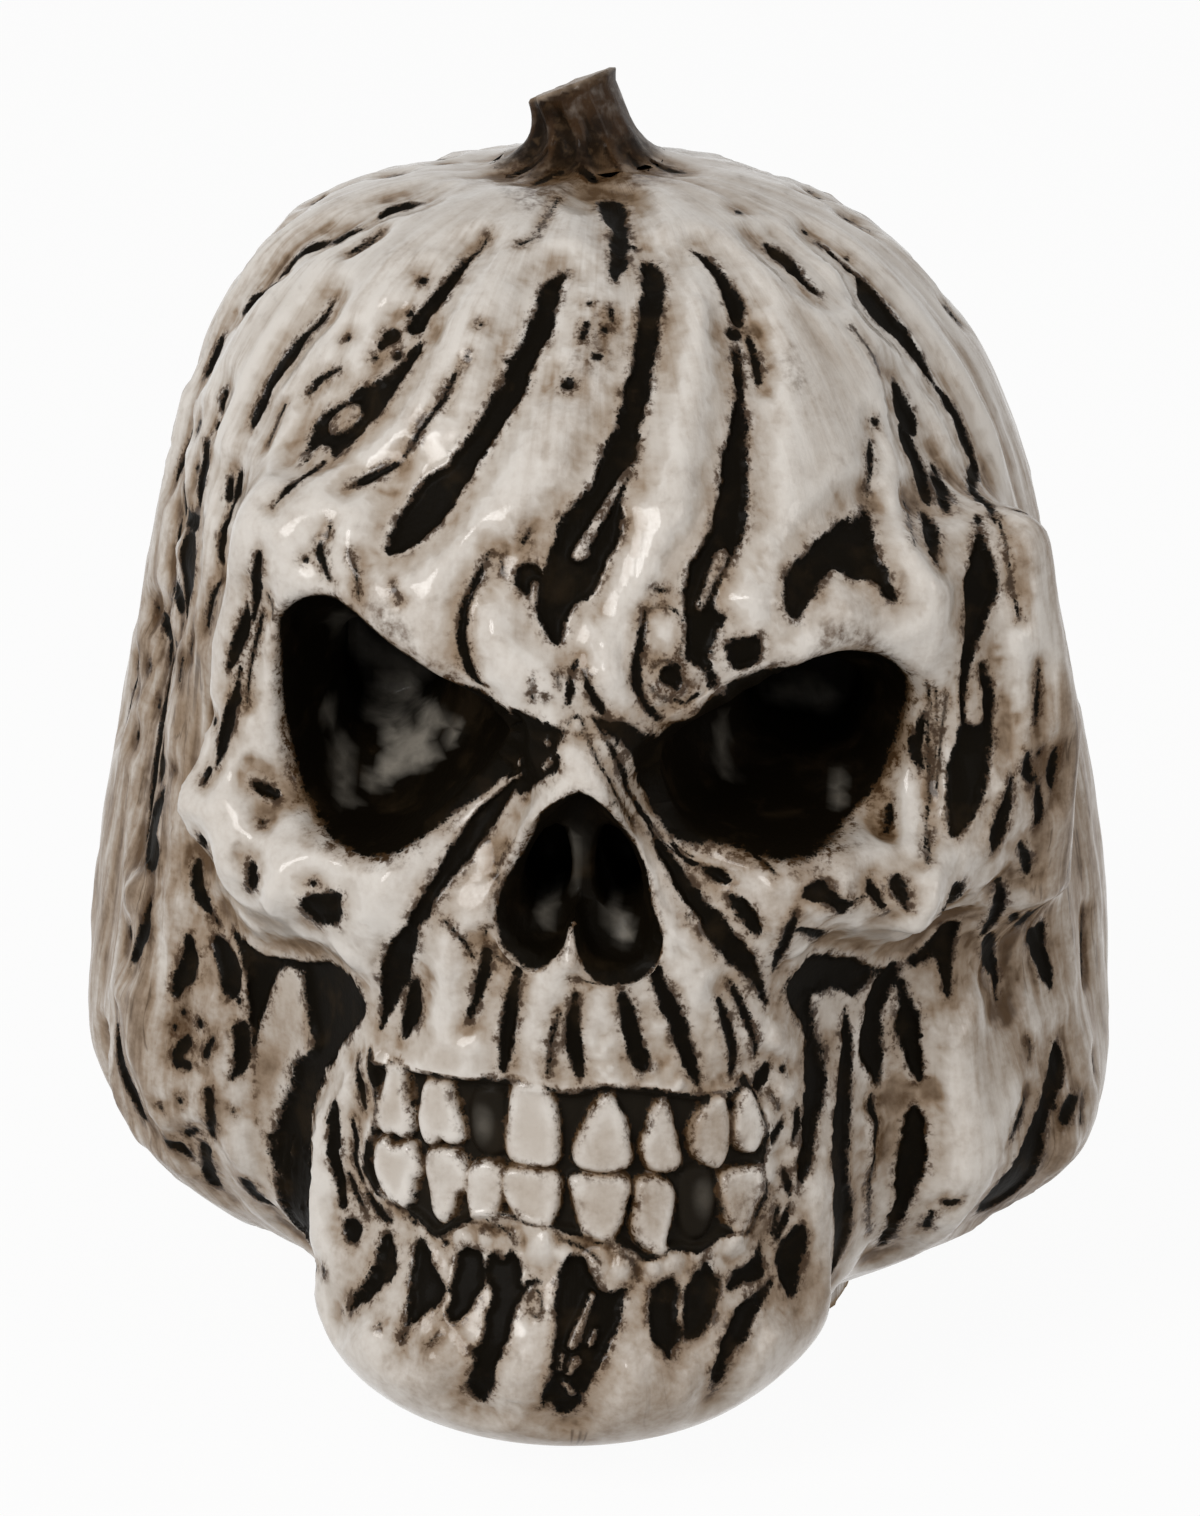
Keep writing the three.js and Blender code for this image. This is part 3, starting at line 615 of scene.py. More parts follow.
draw(2.0, [(420, 338), (408, 345), (395, 362), (378, 378), (352, 392), (325, 410), (312, 425), (303, 445),
    (300, 462), (322, 445), (335, 455), (352, 440), (375, 418), (392, 395), (405, 375), (415, 355)],
    islands=[[(352, 402), (362, 412), (352, 425), (335, 432), (325, 425), (335, 410)]])
draw(1.2, [(420, 275, 5)], [(405, 306, 4)], [(388, 330, 7), (378, 340, 3)], [(368, 352, 3)],
    [(392, 349, 6)], [(318, 455, 1.5), (300, 470, 3), (288, 483, 4), (277, 495, 2), (270, 505, 1)],
    [(393, 462, 2), (380, 470, 5), (365, 478, 4), (350, 485, 1.5)], [(587, 318, 3), (582, 332, 4)],
    [(606, 323, 5)], [(597, 353, 5)], [(568, 382, 8)], [(589, 298, 3)], [(611, 303, 3), (613, 312, 2)],
    [(505, 353, 3)], [(533, 328, 5)], [(635, 236, 3)], [(456, 368, 1), (445, 390, 3), (436, 405, 3),
    (420, 425, 3), (412, 438, 2.5), (400, 452, 1)])
draw(0.6, [(552, 142, 2), (540, 153, 4), (528, 163, 3), (514, 170, 1.5)], [(572, 158, 2), (582, 168, 4),
    (594, 177, 3)], [(606, 148, 2), (613, 160, 3), (619, 168, 1.5)], [(560, 168, 2), (545, 176, 2.5),
    (533, 182, 1)], [(655, 158, 2), (668, 165, 3), (684, 168, 1)], [(630, 152, 1.5), (637, 160, 2.5),
    (643, 168, 1)])
draw(0.6, [(520, 240, 1.5), (535, 232, 1), (545, 215, 1), (552, 205, 1), (558, 195, 1.5)], [(470, 243, 1.5),
    (480, 235, 1), (487, 227, 1)], [(480, 322, 2)], [(465, 353, 2)])

# %% Draw the crown's left side
draw(1.4, [(418, 197, 2), (400, 200, 5), (380, 207, 3)], [(355, 220, 2), (340, 226, 4), (330, 230, 2)],
    [(320, 233, 3), (310, 240, 6), (295, 250, 5), (282, 258, 4), (270, 268, 2)], [(266, 275, 2),
    (255, 284, 4), (243, 296, 4), (235, 305, 2)], [(378, 226, 1), (362, 236, 1.5), (347, 246, 1)],
    [(372, 232, 1), (355, 243, 1)], [(212, 338, 3), (208, 348, 5), (202, 360, 5), (196, 370, 2)],
    [(330, 300, 1), (320, 315, 3), (305, 330, 3), (292, 345, 5), (280, 362, 5), (268, 380, 4),
    (262, 395, 5), (255, 412, 5), (250, 425, 2)], [(345, 336, 4)], [(335, 365, 1), (322, 373, 2),
    (312, 380, 3), (303, 390, 1)], [(216, 392, 3), (212, 402, 3)], [(206, 422, 4)], [(280, 405, 1),
    (265, 440, 1)])

# %% Draw the crown's right side
draw(1.9, [(768, 242, 2), (775, 248, 5), (785, 255, 6), (795, 266, 5), (805, 278, 4), (815, 287, 3),
    (822, 292, 1)], [(820, 240, 1), (835, 252, 1.5), (850, 265, 2), (862, 275, 3), (872, 290, 9),
    (880, 305, 12), (892, 318, 10), (905, 330, 8), (915, 345, 6), (925, 355, 5), (935, 370, 3),
    (940, 378, 2)], [(943, 383, 2), (952, 395, 5), (960, 412, 6), (968, 432, 6), (976, 455, 5),
    (985, 475, 4), (992, 495, 3), (998, 515, 1.5)], [(898, 382, 2), (905, 398, 6), (913, 415, 8),
    (920, 428, 3)], [(910, 425, 3), (915, 440, 8), (922, 460, 9), (926, 478, 7), (928, 495, 3)],
    [(942, 462, 2), (945, 475, 5), (948, 490, 5), (950, 503, 3)], [(924, 512, 2), (930, 530, 6),
    (935, 545, 5), (938, 560, 2)])
draw(0.7, [(740, 208, 4)], [(810, 221, 3)], [(854, 247, 3)], [(855, 325, 1), (885, 365, 1)], [(912, 495, 1),
    (918, 540, 1)], [(985, 330, 2), (995, 350, 2)], [(874, 438, 1), (873, 455, 3), (873, 470, 2),
    (874, 490, 1)], [(878, 420, 4)])

# %% [markdown]
# ## The brows
# Over the right eye the glaze has crawled into beads round two pits, and an arched patch of stain lies over
# them. The left brow has fine cracks only.

# %% Draw the brows
draw(1.8, [(783, 598), (785, 580), (795, 562), (812, 545), (830, 530), (845, 520), (850, 512), (853, 520),
    (858, 515), (862, 510), (870, 508), (873, 520), (875, 535), (880, 550), (888, 570), (895, 590),
    (900, 602), (890, 600), (880, 590), (868, 580), (855, 578), (845, 575), (835, 572), (825, 578),
    (818, 590), (810, 605), (803, 618), (795, 620), (788, 610)])
draw(2.0, [(645, 610, 2), (641, 640, 4), (637, 665, 5), (640, 690, 5), (650, 712, 4), (666, 725, 2)])
draw(0.7, [(646, 612, 0.8), (656, 606, 0.7), (672, 606, 0.7), (683, 618, 0.7), (684, 640, 0.8),
    (680, 656, 1)], [(656, 668, 1), (664, 662, 0.8), (670, 660, 0.8)], [(655, 690, 1), (662, 700, 1),
    (672, 705, 1.5)], [(680, 707, 1.5), (690, 712, 1), (697, 707, 2.5), (702, 700, 1)], [(706, 662, 1),
    (711, 651, 1), (717, 657, 1)], [(567, 727, 0.8), (571, 721, 0.9), (577, 720, 0.9), (583, 725, 0.9),
    (584, 732, 0.8), (580, 737, 0.6)], [(590, 745, 0.6), (598, 757, 0.8), (603, 768, 0.6)])
draw(2.6, [(728, 644), (740, 641), (761, 635), (764, 645), (760, 666), (750, 675), (737, 670), (727, 657)],
    [(664, 668), (675, 664), (684, 672), (683, 688), (678, 692), (668, 688), (662, 678)])
draw(0.8, [(657, 589, 2), (668, 589, 2)], [(724, 616, 4)])
draw(0.5, [(919, 716, 3), (914, 735, 5), (911, 750, 5), (915, 766, 3)])
draw(0.9, [(320, 540, 2), (318, 553, 5), (322, 565, 3), (328, 580, 2)], [(303, 560, 3)], [(347, 550, 1),
    (352, 565, 1.5), (355, 580, 1.5), (356, 598, 1)], [(330, 520, 1), (325, 535, 1.5)], [(392, 585, 1),
    (398, 600, 1.5)], [(528, 530, 2), (522, 540, 3)])
draw(1.6, [(488, 552, 2), (480, 570, 3), (470, 592, 4), (463, 612, 5), (461, 635, 5), (464, 655, 5),
    (470, 672, 5), (478, 688, 2)], [(576, 660, 3), (571, 678, 4), (570, 695, 4), (566, 705, 2)],
    [(584, 672, 3), (590, 690, 4), (598, 705, 5), (606, 716, 3)])
draw(1.2, [(512, 712), (530, 720), (548, 727), (566, 731), (560, 742), (554, 752), (560, 764), (552, 772),
    (543, 776), (530, 786), (518, 796), (508, 792), (499, 780), (496, 760), (498, 738), (502, 720)],
    islands=[[(505, 726, 4)], [(509, 760, 5)], [(503, 780, 5), (512, 776, 2)], [(545, 744, 3)],
    [(541, 768, 3), (548, 762, 3)]])
draw(1.4, [(592, 717), (608, 722), (625, 722), (636, 732), (650, 738), (668, 741), (672, 756), (664, 775),
    (654, 786), (642, 774), (634, 758), (622, 745), (608, 737), (597, 728)], islands=[[(622, 747, 2),
    (633, 760, 3), (641, 774, 3)]])
draw(1.0, [(604, 734, 1.5), (616, 752, 2.5), (628, 773, 3), (640, 793, 2.5), (655, 815, 2.5), (672, 842, 2),
    (690, 857, 2.5)], [(659, 782, 0.9), (668, 799, 1), (677, 815, 1), (681, 833, 1), (696, 848, 0.8)],
    [(588, 738, 1), (596, 756, 1.2), (612, 780, 1), (630, 806, 1.4), (640, 826, 1)])
draw(0.7, [(926, 686, 1.5), (925, 694, 2.5), (922, 702, 1.5)], [(888, 806, 3), (889, 818, 4),
    (886, 830, 2)], [(933, 696, 0.8), (928, 750, 0.9), (923, 800, 0.9), (927, 858, 0.8)], [(545, 817, 1),
    (552, 812, 0.9), (557, 816, 0.8)], [(616, 806, 0.8), (622, 803, 0.8), (630, 809, 0.8)], [(500, 882, 1),
    (497, 870, 0.9), (503, 852, 0.9), (512, 842, 0.7)], [(483, 937, 1), (486, 929, 1.1), (495, 925, 1)],
    [(492, 946, 1), (490, 955, 1.1), (497, 964, 1), (505, 962, 1), (511, 972, 1), (520, 967, 1),
    (528, 960, 1)], [(572, 981, 0.9), (590, 982, 0.9), (601, 977, 1)], [(651, 931, 0.9), (654, 928, 1),
    (659, 931, 1), (656, 936, 0.8)], [(689, 920, 1), (694, 914, 1), (700, 918, 0.9)])
draw(0.6, [(556, 672, 1), (558, 690, 1.5)], [(532, 680, 1.5), (530, 700, 2)], [(543, 697, 2)],
    [(498, 555, 1), (500, 570, 1)])

# %% [markdown]
# ## Temples, cheeks and jaws
# Below the temples the strands hang like dried skin. Black hollows lie under both cheekbones, and bands of
# stain run from beside the nose down to the corners of the mouth.

# %% Draw the right temple and flank
draw(2.2, [(978, 508, 1.5), (980, 535, 4), (979, 560, 10), (980, 585, 16), (976, 605, 13), (973, 630, 9),
    (971, 655, 7), (968, 680, 6), (966, 700, 4)], [(988, 668, 4), (991, 690, 5), (993, 715, 5),
    (991, 740, 8)], [(968, 690, 5), (966, 710, 4), (968, 730, 6)])
draw(2.4, [(965, 722), (980, 726), (993, 722), (996, 750), (991, 780), (984, 805), (970, 828), (957, 838),
    (948, 822), (945, 795), (947, 765), (955, 740)])
draw(1.3, [(928, 828, 2), (930, 860, 1.5)], [(1043, 668, 1), (1042, 690, 3), (1040, 710, 3),
    (1040, 725, 1)], [(1033, 755, 4), (1036, 775, 6), (1040, 785, 3)], [(1048, 755, 4)], [(1064, 752, 2),
    (1062, 770, 4), (1062, 790, 2)], [(1044, 778, 2), (1047, 795, 4), (1046, 812, 5), (1042, 826, 2)],
    [(1018, 780, 1), (1013, 800, 4), (1006, 820, 6), (1001, 838, 7), (998, 850, 3)], [(1024, 848, 3),
    (1028, 862, 6), (1030, 872, 3)], [(998, 885, 3), (1000, 900, 6), (997, 918, 6), (994, 932, 6),
    (992, 940, 2)], [(1018, 925, 6), (1020, 935, 5)], [(1048, 925, 6), (1050, 938, 5)], [(1035, 925, 3),
    (1040, 940, 8), (1047, 955, 9), (1052, 970, 8), (1055, 985, 3)], [(995, 945, 3), (996, 955, 5),
    (999, 975, 3), (1000, 1000, 1.5)], [(1088, 915, 1), (1090, 975, 1)], [(1005, 505, 1), (1025, 620, 1)],
    [(945, 700, 1), (936, 740, 1.5), (930, 790, 1)], [(925, 705, 1), (922, 760, 1.5), (925, 800, 1)])
draw(2.3, [(1060, 1050, 5), (1061, 1062, 9), (1058, 1080, 10), (1052, 1100, 10), (1045, 1120, 9),
    (1038, 1145, 12), (1027, 1170, 14), (1015, 1190, 14), (1003, 1205, 12), (996, 1215, 4)])
draw(1.0, [(1033, 1095, 1), (1028, 1115, 3), (1022, 1130, 3), (1018, 1140, 1.5)], [(1087, 1098, 2),
    (1080, 1105, 5), (1075, 1120, 3)], [(1068, 1108, 4)], [(1095, 1100, 1), (1090, 1125, 1)],
    [(1033, 1040, 1), (1035, 1055, 1)], [(950, 1208, 4), (960, 1206, 2)], [(935, 1220, 3), (930, 1235, 3)])

# %% Draw under the right cheekbone
draw(2.4, [(955, 890), (965, 885), (970, 895), (962, 915), (958, 935), (955, 955), (955, 980), (952, 1000),
    (945, 985), (942, 965), (935, 955), (925, 962), (915, 965), (905, 962), (920, 948), (935, 935),
    (945, 915)])
draw(2.6, [(790, 975), (805, 958), (825, 952), (845, 955), (865, 962), (885, 966), (900, 963), (893, 972),
    (880, 975), (870, 985), (858, 995), (845, 990), (835, 985), (825, 990), (812, 992), (815, 1010),
    (815, 1030), (825, 1050), (828, 1085), (822, 1120), (815, 1160), (803, 1190), (797, 1195), (800, 1160),
    (803, 1120), (803, 1070), (805, 1050), (803, 1035), (798, 1020), (790, 1005), (785, 990)])
draw(2.2, [(846, 1010, 2), (850, 1040, 6), (849, 1080, 8), (847, 1120, 8), (846, 1180, 8), (847, 1230, 9),
    (845, 1265, 7), (842, 1285, 3)], [(895, 965, 3), (885, 985, 8), (876, 1010, 9), (872, 1040, 9),
    (874, 1060, 8), (876, 1080, 4)], [(900, 985, 3), (903, 1000, 5), (908, 1020, 10), (910, 1040, 9),
    (914, 1060, 7), (918, 1078, 3)], [(915, 1110, 4), (915, 1125, 9), (913, 1145, 11), (912, 1165, 12),
    (908, 1180, 11), (905, 1195, 6), (897, 1215, 6), (890, 1235, 5), (882, 1252, 2)])
draw(0.6, [(882, 1100, 2), (880, 1130, 2.5), (878, 1180, 1.5), (878, 1240, 1)])

# %% Draw the right cheek
draw(1.3, [(680, 840, 3), (690, 858, 4), (698, 862, 3)], [(706, 868, 3), (715, 872, 8), (722, 878, 4)],
    [(722, 895, 3), (735, 903, 7), (745, 915, 9), (753, 928, 7), (757, 938, 3)], [(805, 890), (815, 880),
    (825, 878), (835, 888), (845, 898), (855, 900), (865, 895), (870, 900), (860, 905), (850, 915),
    (842, 920), (830, 910), (815, 900), (803, 897)], [(872, 878, 3), (877, 890, 6), (881, 905, 5),
    (884, 920, 2)], [(898, 875, 5), (903, 890, 7), (906, 905, 4), (908, 915, 1.5)], [(797, 915, 3),
    (793, 930, 7), (790, 945, 6), (784, 960, 4), (780, 975, 2)], [(805, 938, 2), (818, 940, 3),
    (830, 945, 2)])
draw(0.5, [(752, 850, 1.5), (765, 860, 2), (775, 872, 1)])

# %% Draw beside the nose and over the teeth
draw(1.8, [(512, 782, 5), (492, 805, 10), (474, 832, 12), (456, 858, 11), (441, 878, 9), (428, 900, 9),
    (415, 922, 8), (406, 942, 11), (396, 962, 14), (392, 980, 12), (385, 1000, 8), (380, 1020, 4),
    (376, 1030, 2)], [(640, 800, 2), (652, 825, 4), (664, 848, 6), (678, 872, 8), (692, 898, 9),
    (708, 920, 10), (722, 940, 10), (738, 958, 10), (754, 975, 9), (764, 990, 7), (770, 1003, 3)])
draw(1.5, [(413, 985, 4), (410, 1005, 7), (407, 1022, 8), (402, 1035, 4)], [(485, 952, 5), (482, 975, 6),
    (475, 1000, 5), (468, 1020, 3)], [(518, 965, 2), (514, 985, 6), (510, 1010, 9), (506, 1035, 8),
    (504, 1060, 5), (503, 1072, 2)], [(575, 997, 4), (573, 1020, 8), (574, 1045, 8), (577, 1065, 6),
    (580, 1078, 2)], [(620, 985), (630, 1000), (638, 1020), (643, 1040), (650, 1060), (650, 1070),
    (640, 1072), (630, 1062), (625, 1045), (622, 1020), (618, 1000)], [(657, 970, 6), (660, 985, 7),
    (670, 1005, 9), (680, 1030, 9), (688, 1055, 9), (695, 1075, 6), (700, 1086, 3)], [(721, 1003, 2),
    (727, 1020, 5), (733, 1042, 5), (735, 1062, 4), (733, 1078, 2)], [(733, 985, 2), (742, 1002, 4),
    (750, 1020, 5), (757, 1040, 4), (760, 1056, 1.5)], [(772, 1070, 4), (765, 1080, 8), (758, 1092, 5)],
    [(790, 1070, 4)])
draw(0.6, [(558, 1018, 2), (552, 1035, 3), (549, 1055, 3), (548, 1075, 2)], [(445, 925, 1.5), (460, 940, 2),
    (470, 960, 1.5)])

# %% Draw the left cheek and the hollow under it
draw(1.5, [(302, 900), (315, 893), (330, 890), (340, 895), (341, 908), (338, 922), (335, 932), (325, 928),
    (312, 930), (302, 920), (299, 910)], [(243, 863), (254, 862), (257, 878), (254, 890), (248, 900),
    (241, 890), (242, 878)], [(310, 883, 4)], [(255, 783, 4), (265, 789, 6), (277, 795, 4)],
    [(262, 821, 3)])
draw(2.8, [(232, 925), (250, 945), (275, 955), (310, 960), (335, 963), (350, 975), (360, 995), (362, 1010),
    (345, 1040), (335, 1060), (325, 1080), (308, 1130), (308, 1250), (283, 1250), (283, 1150), (262, 1060),
    (245, 985), (235, 945)], islands=[[(283, 972), (295, 965), (308, 970), (312, 990), (315, 1020),
    (318, 1045), (310, 1058), (300, 1060), (298, 1085), (290, 1110), (285, 1130), (270, 1135), (262, 1130),
    (262, 1080), (265, 1040), (272, 1005), (278, 985)]])
draw(1.4, [(330, 1105, 3), (331, 1130, 8), (330, 1155, 8), (335, 1180, 5), (338, 1205, 4)],
    [(347, 1230, 13)])

# %% Draw the left flank
draw(1.3, [(199, 440, 2), (199, 455, 4), (196, 472, 6), (192, 490, 4), (189, 503, 1.5)], [(187, 466, 4)],
    [(170, 492, 3), (168, 503, 4)], [(183, 522, 6), (175, 515, 3)], [(183, 540, 3), (179, 553, 10),
    (180, 570, 9), (178, 590, 7), (176, 612, 3)], [(160, 560, 5)], [(163, 590, 4), (167, 605, 4)],
    [(147, 608, 4)], [(151, 620, 4), (152, 632, 3)], [(166, 625, 2)], [(162, 645, 4)], [(160, 663, 3),
    (156, 675, 6), (151, 687, 2)], [(143, 665, 4)], [(132, 690, 4)], [(233, 475, 4), (229, 490, 4),
    (224, 505, 2), (220, 525, 4), (217, 545, 4), (216, 560, 3)], [(221, 480, 3), (220, 495, 4)],
    [(214, 580, 1), (208, 600, 2.5), (204, 625, 2)], [(256, 555, 3), (253, 575, 6), (250, 598, 6),
    (247, 620, 3)], [(256, 620, 3), (252, 645, 3), (247, 675, 2.5), (245, 705, 1.5)], [(240, 605, 2),
    (238, 622, 7), (234, 645, 9), (226, 660, 5), (221, 668, 2)], [(236, 672, 2), (232, 695, 5),
    (226, 718, 8), (220, 740, 9), (213, 757, 5), (210, 762, 2)], [(206, 720, 4)], [(200, 770, 4),
    (197, 780, 3)], [(132, 735, 5)], [(150, 745, 4), (150, 760, 6), (147, 770, 4)], [(167, 770, 2)],
    [(185, 640, 1), (183, 655, 1)], [(175, 660, 1), (172, 680, 1)], [(262, 600, 1), (275, 622, 1)])
draw(1.6, [(152, 795, 3), (146, 815, 7), (140, 835, 9), (145, 855, 9), (150, 862, 3)], [(143, 900, 2),
    (141, 918, 4), (137, 935, 6), (130, 950, 4), (126, 957, 1.5)], [(198, 842, 2), (196, 862, 4),
    (194, 880, 6), (197, 897, 6), (205, 912, 4), (213, 925, 2)], [(110, 1030, 4), (113, 1055, 6),
    (119, 1075, 5), (126, 1095, 7), (133, 1112, 5), (140, 1122, 2)], [(184, 940, 4), (186, 955, 7),
    (183, 970, 10), (178, 980, 9), (170, 993, 6)], [(212, 945, 6), (222, 965, 10), (226, 985, 10),
    (225, 995, 5)])
draw(1.1, [(230, 1005, 5)], [(175, 1015, 5)], [(192, 1025, 5)], [(165, 1030, 3)], [(180, 1045, 6),
    (172, 1060, 5), (183, 1068, 5)], [(201, 1055, 5), (207, 1042, 3)], [(235, 1035, 10), (238, 1055, 10),
    (235, 1072, 6), (228, 1080, 3)], [(205, 1095, 5), (208, 1115, 5), (206, 1135, 5), (205, 1142, 2)],
    [(157, 1110, 3)], [(175, 1103, 4)], [(187, 1137, 5), (180, 1142, 4)], [(200, 1155, 6), (203, 1175, 6),
    (210, 1190, 4)], [(163, 1148, 3), (175, 1155, 4), (183, 1165, 2)], [(242, 1188, 4), (248, 1200, 5),
    (256, 1210, 4), (262, 1216, 1)], [(228, 1115, 2)])

# %% [markdown]
# ## The lower jaw
# Short deep pits run down from the lower gum, ragged at their upper ends and pointed at their lower ones,
# with small beads of glaze between them.

# %% Draw the lower jaw
draw(2.2, [(385, 1228), (394, 1245), (394, 1268), (380, 1290), (361, 1305), (339, 1317), (347, 1301),
    (360, 1285), (371, 1264), (376, 1242)], [(413, 1240), (425, 1240), (430, 1256), (437, 1272),
    (443, 1290), (440, 1300), (430, 1310), (418, 1320), (408, 1332), (400, 1348), (398, 1335), (403, 1312),
    (406, 1290), (408, 1262)], [(454, 1254), (467, 1248), (481, 1256), (481, 1283), (469, 1305),
    (457, 1321), (445, 1320), (443, 1309), (450, 1300), (447, 1289), (451, 1270)], [(483, 1260),
    (494, 1250), (502, 1256), (512, 1247), (520, 1266), (524, 1284), (537, 1281), (525, 1294), (516, 1312),
    (507, 1338), (502, 1350), (496, 1366), (491, 1398), (480, 1406), (468, 1397), (466, 1386), (472, 1364),
    (468, 1350), (480, 1341), (486, 1312), (490, 1290), (484, 1275)])
draw(2.2, [(559, 1268), (570, 1254), (584, 1258), (592, 1268), (600, 1286), (612, 1290), (628, 1288),
    (624, 1306), (616, 1332), (607, 1352), (597, 1370), (589, 1388), (581, 1404), (573, 1414), (560, 1417),
    (550, 1405), (540, 1416), (544, 1395), (551, 1368), (555, 1338), (556, 1308), (556, 1288)],
    islands=[[(592, 1296, 3), (586, 1312, 3), (578, 1332, 5), (572, 1346, 4)], [(576, 1362, 5),
    (569, 1374, 3)], [(565, 1386, 3), (572, 1396, 3)], [(596, 1330, 2), (590, 1344, 3)], [(562, 1356, 2),
    (560, 1370, 2)]])
draw(2.0, [(653, 1290), (664, 1278), (678, 1275), (681, 1297), (679, 1320), (689, 1334), (679, 1349),
    (673, 1366), (661, 1350), (651, 1327), (650, 1305)], [(690, 1286), (705, 1258), (714, 1267),
    (726, 1278), (724, 1297), (715, 1320), (700, 1338), (687, 1341), (685, 1323), (687, 1305)],
    [(729, 1287), (739, 1271), (754, 1260), (761, 1241), (767, 1260), (767, 1279), (748, 1284),
    (736, 1291)], [(778, 1281), (767, 1305), (756, 1321), (748, 1339), (733, 1358), (728, 1376),
    (714, 1397), (713, 1375), (720, 1357), (722, 1346), (731, 1327), (739, 1309), (747, 1301), (762, 1290)],
    [(787, 1238), (806, 1228), (808, 1253), (800, 1290), (792, 1299), (783, 1272), (780, 1253)])
draw(0.6, [(527, 1298, 0.8), (529, 1290, 0.9), (534, 1288, 0.9), (539, 1296, 0.9), (540, 1308, 0.9),
    (534, 1316, 0.9), (528, 1310, 0.8)], [(489, 1257, 0.8), (494, 1251, 0.9), (499, 1256, 0.8),
    (495, 1262, 0.8)], [(546, 1411, 1)], [(480, 1230, 1), (492, 1226, 1.2), (505, 1232, 1.2),
    (512, 1242, 0.8)], [(560, 1240, 1), (575, 1244, 1.3), (590, 1252, 1.2), (600, 1262, 1)],
    [(620, 1252, 1), (635, 1262, 1.2), (640, 1275, 1)])
draw(1.5, [(771, 1070, 2), (765, 1086, 4), (760, 1100, 2)], [(787, 1124, 3), (775, 1140, 5),
    (760, 1152, 3)], [(806, 1110, 3), (804, 1128, 4), (800, 1142, 2)], [(788, 1174, 3), (793, 1188, 5),
    (796, 1198, 2)], [(769, 1196, 2), (765, 1208, 4), (759, 1218, 2)], [(797, 1208, 2), (790, 1224, 4),
    (784, 1240, 3)], [(778, 1096, 1), (786, 1110, 1.5)], [(352, 1062, 2), (358, 1088, 4), (362, 1108, 2)],
    [(346, 1120, 1), (352, 1140, 3), (350, 1162, 3), (356, 1184, 1.5)], [(362, 1196, 3), (372, 1212, 5),
    (384, 1222, 3)], [(342, 1178, 2), (348, 1196, 3), (358, 1216, 2)], [(436, 1230, 2), (440, 1242, 3)],
    [(396, 1208, 2), (408, 1222, 3)])
draw(0.8, [(785, 1212, 3), (782, 1235, 3)], [(525, 1282, 3), (532, 1281, 4), (538, 1280, 2)],
    [(321, 1271, 4)], [(430, 1335, 1), (425, 1343, 1)], [(372, 1325, 1.5)])

beads = [
    (658, 690, 7), (665, 706, 9), (685, 697, 9), (703, 703, 9), (722, 636, 7), (711, 672, 9),
    (735, 700, 12), (456, 1240, 11), (432, 1232, 9), (480, 1237, 9), (512, 1238, 9), (540, 1249, 16),
    (562, 1252, 10), (597, 1262, 15), (626, 1268, 12), (655, 1270, 10), (680, 1264, 11), (703, 1252, 9),
    (741, 1246, 13), (641, 1078, 7), (655, 1072, 8), (683, 1089, 7), (577, 730, 5), (546, 348, 4),
    (525, 955, 12), (572, 966, 9),
]
amber_spots = [(0.9, [(669, 1236), (680, 1226), (702, 1230), (712, 1242), (700, 1254), (680, 1254)])]
print(len(drawing), "marks in the glaze,", len(beads), "beads")

# %% [markdown]
# ## Mouth and teeth
# The teeth stand in a sunk, blackened mouth. Each is a rounded lump of clay with its own outline, chipped
# and uneven as the modeller left it, so each is drawn by itself.

# %% Draw the mouth and the teeth
mouth_line = [
    (360, 1050), (368, 1062), (380, 1067), (395, 1062), (403, 1070), (430, 1075), (460, 1080), (480, 1080),
    (530, 1085), (570, 1095), (600, 1088), (650, 1092), (700, 1098), (735, 1095), (750, 1080), (758, 1090),
    (765, 1100), (775, 1140), (770, 1165), (768, 1180), (775, 1190), (770, 1205), (762, 1225), (755, 1235),
    (735, 1235), (725, 1240), (712, 1250), (700, 1252), (680, 1250), (665, 1256), (650, 1260), (640, 1256),
    (620, 1245), (605, 1245), (590, 1240), (575, 1235), (560, 1232), (545, 1228), (520, 1222), (500, 1218),
    (480, 1220), (465, 1222), (450, 1228), (430, 1238), (420, 1232), (410, 1222), (395, 1212), (380, 1205),
    (370, 1195), (362, 1185), (355, 1170), (364, 1140), (372, 1110), (364, 1080),
]
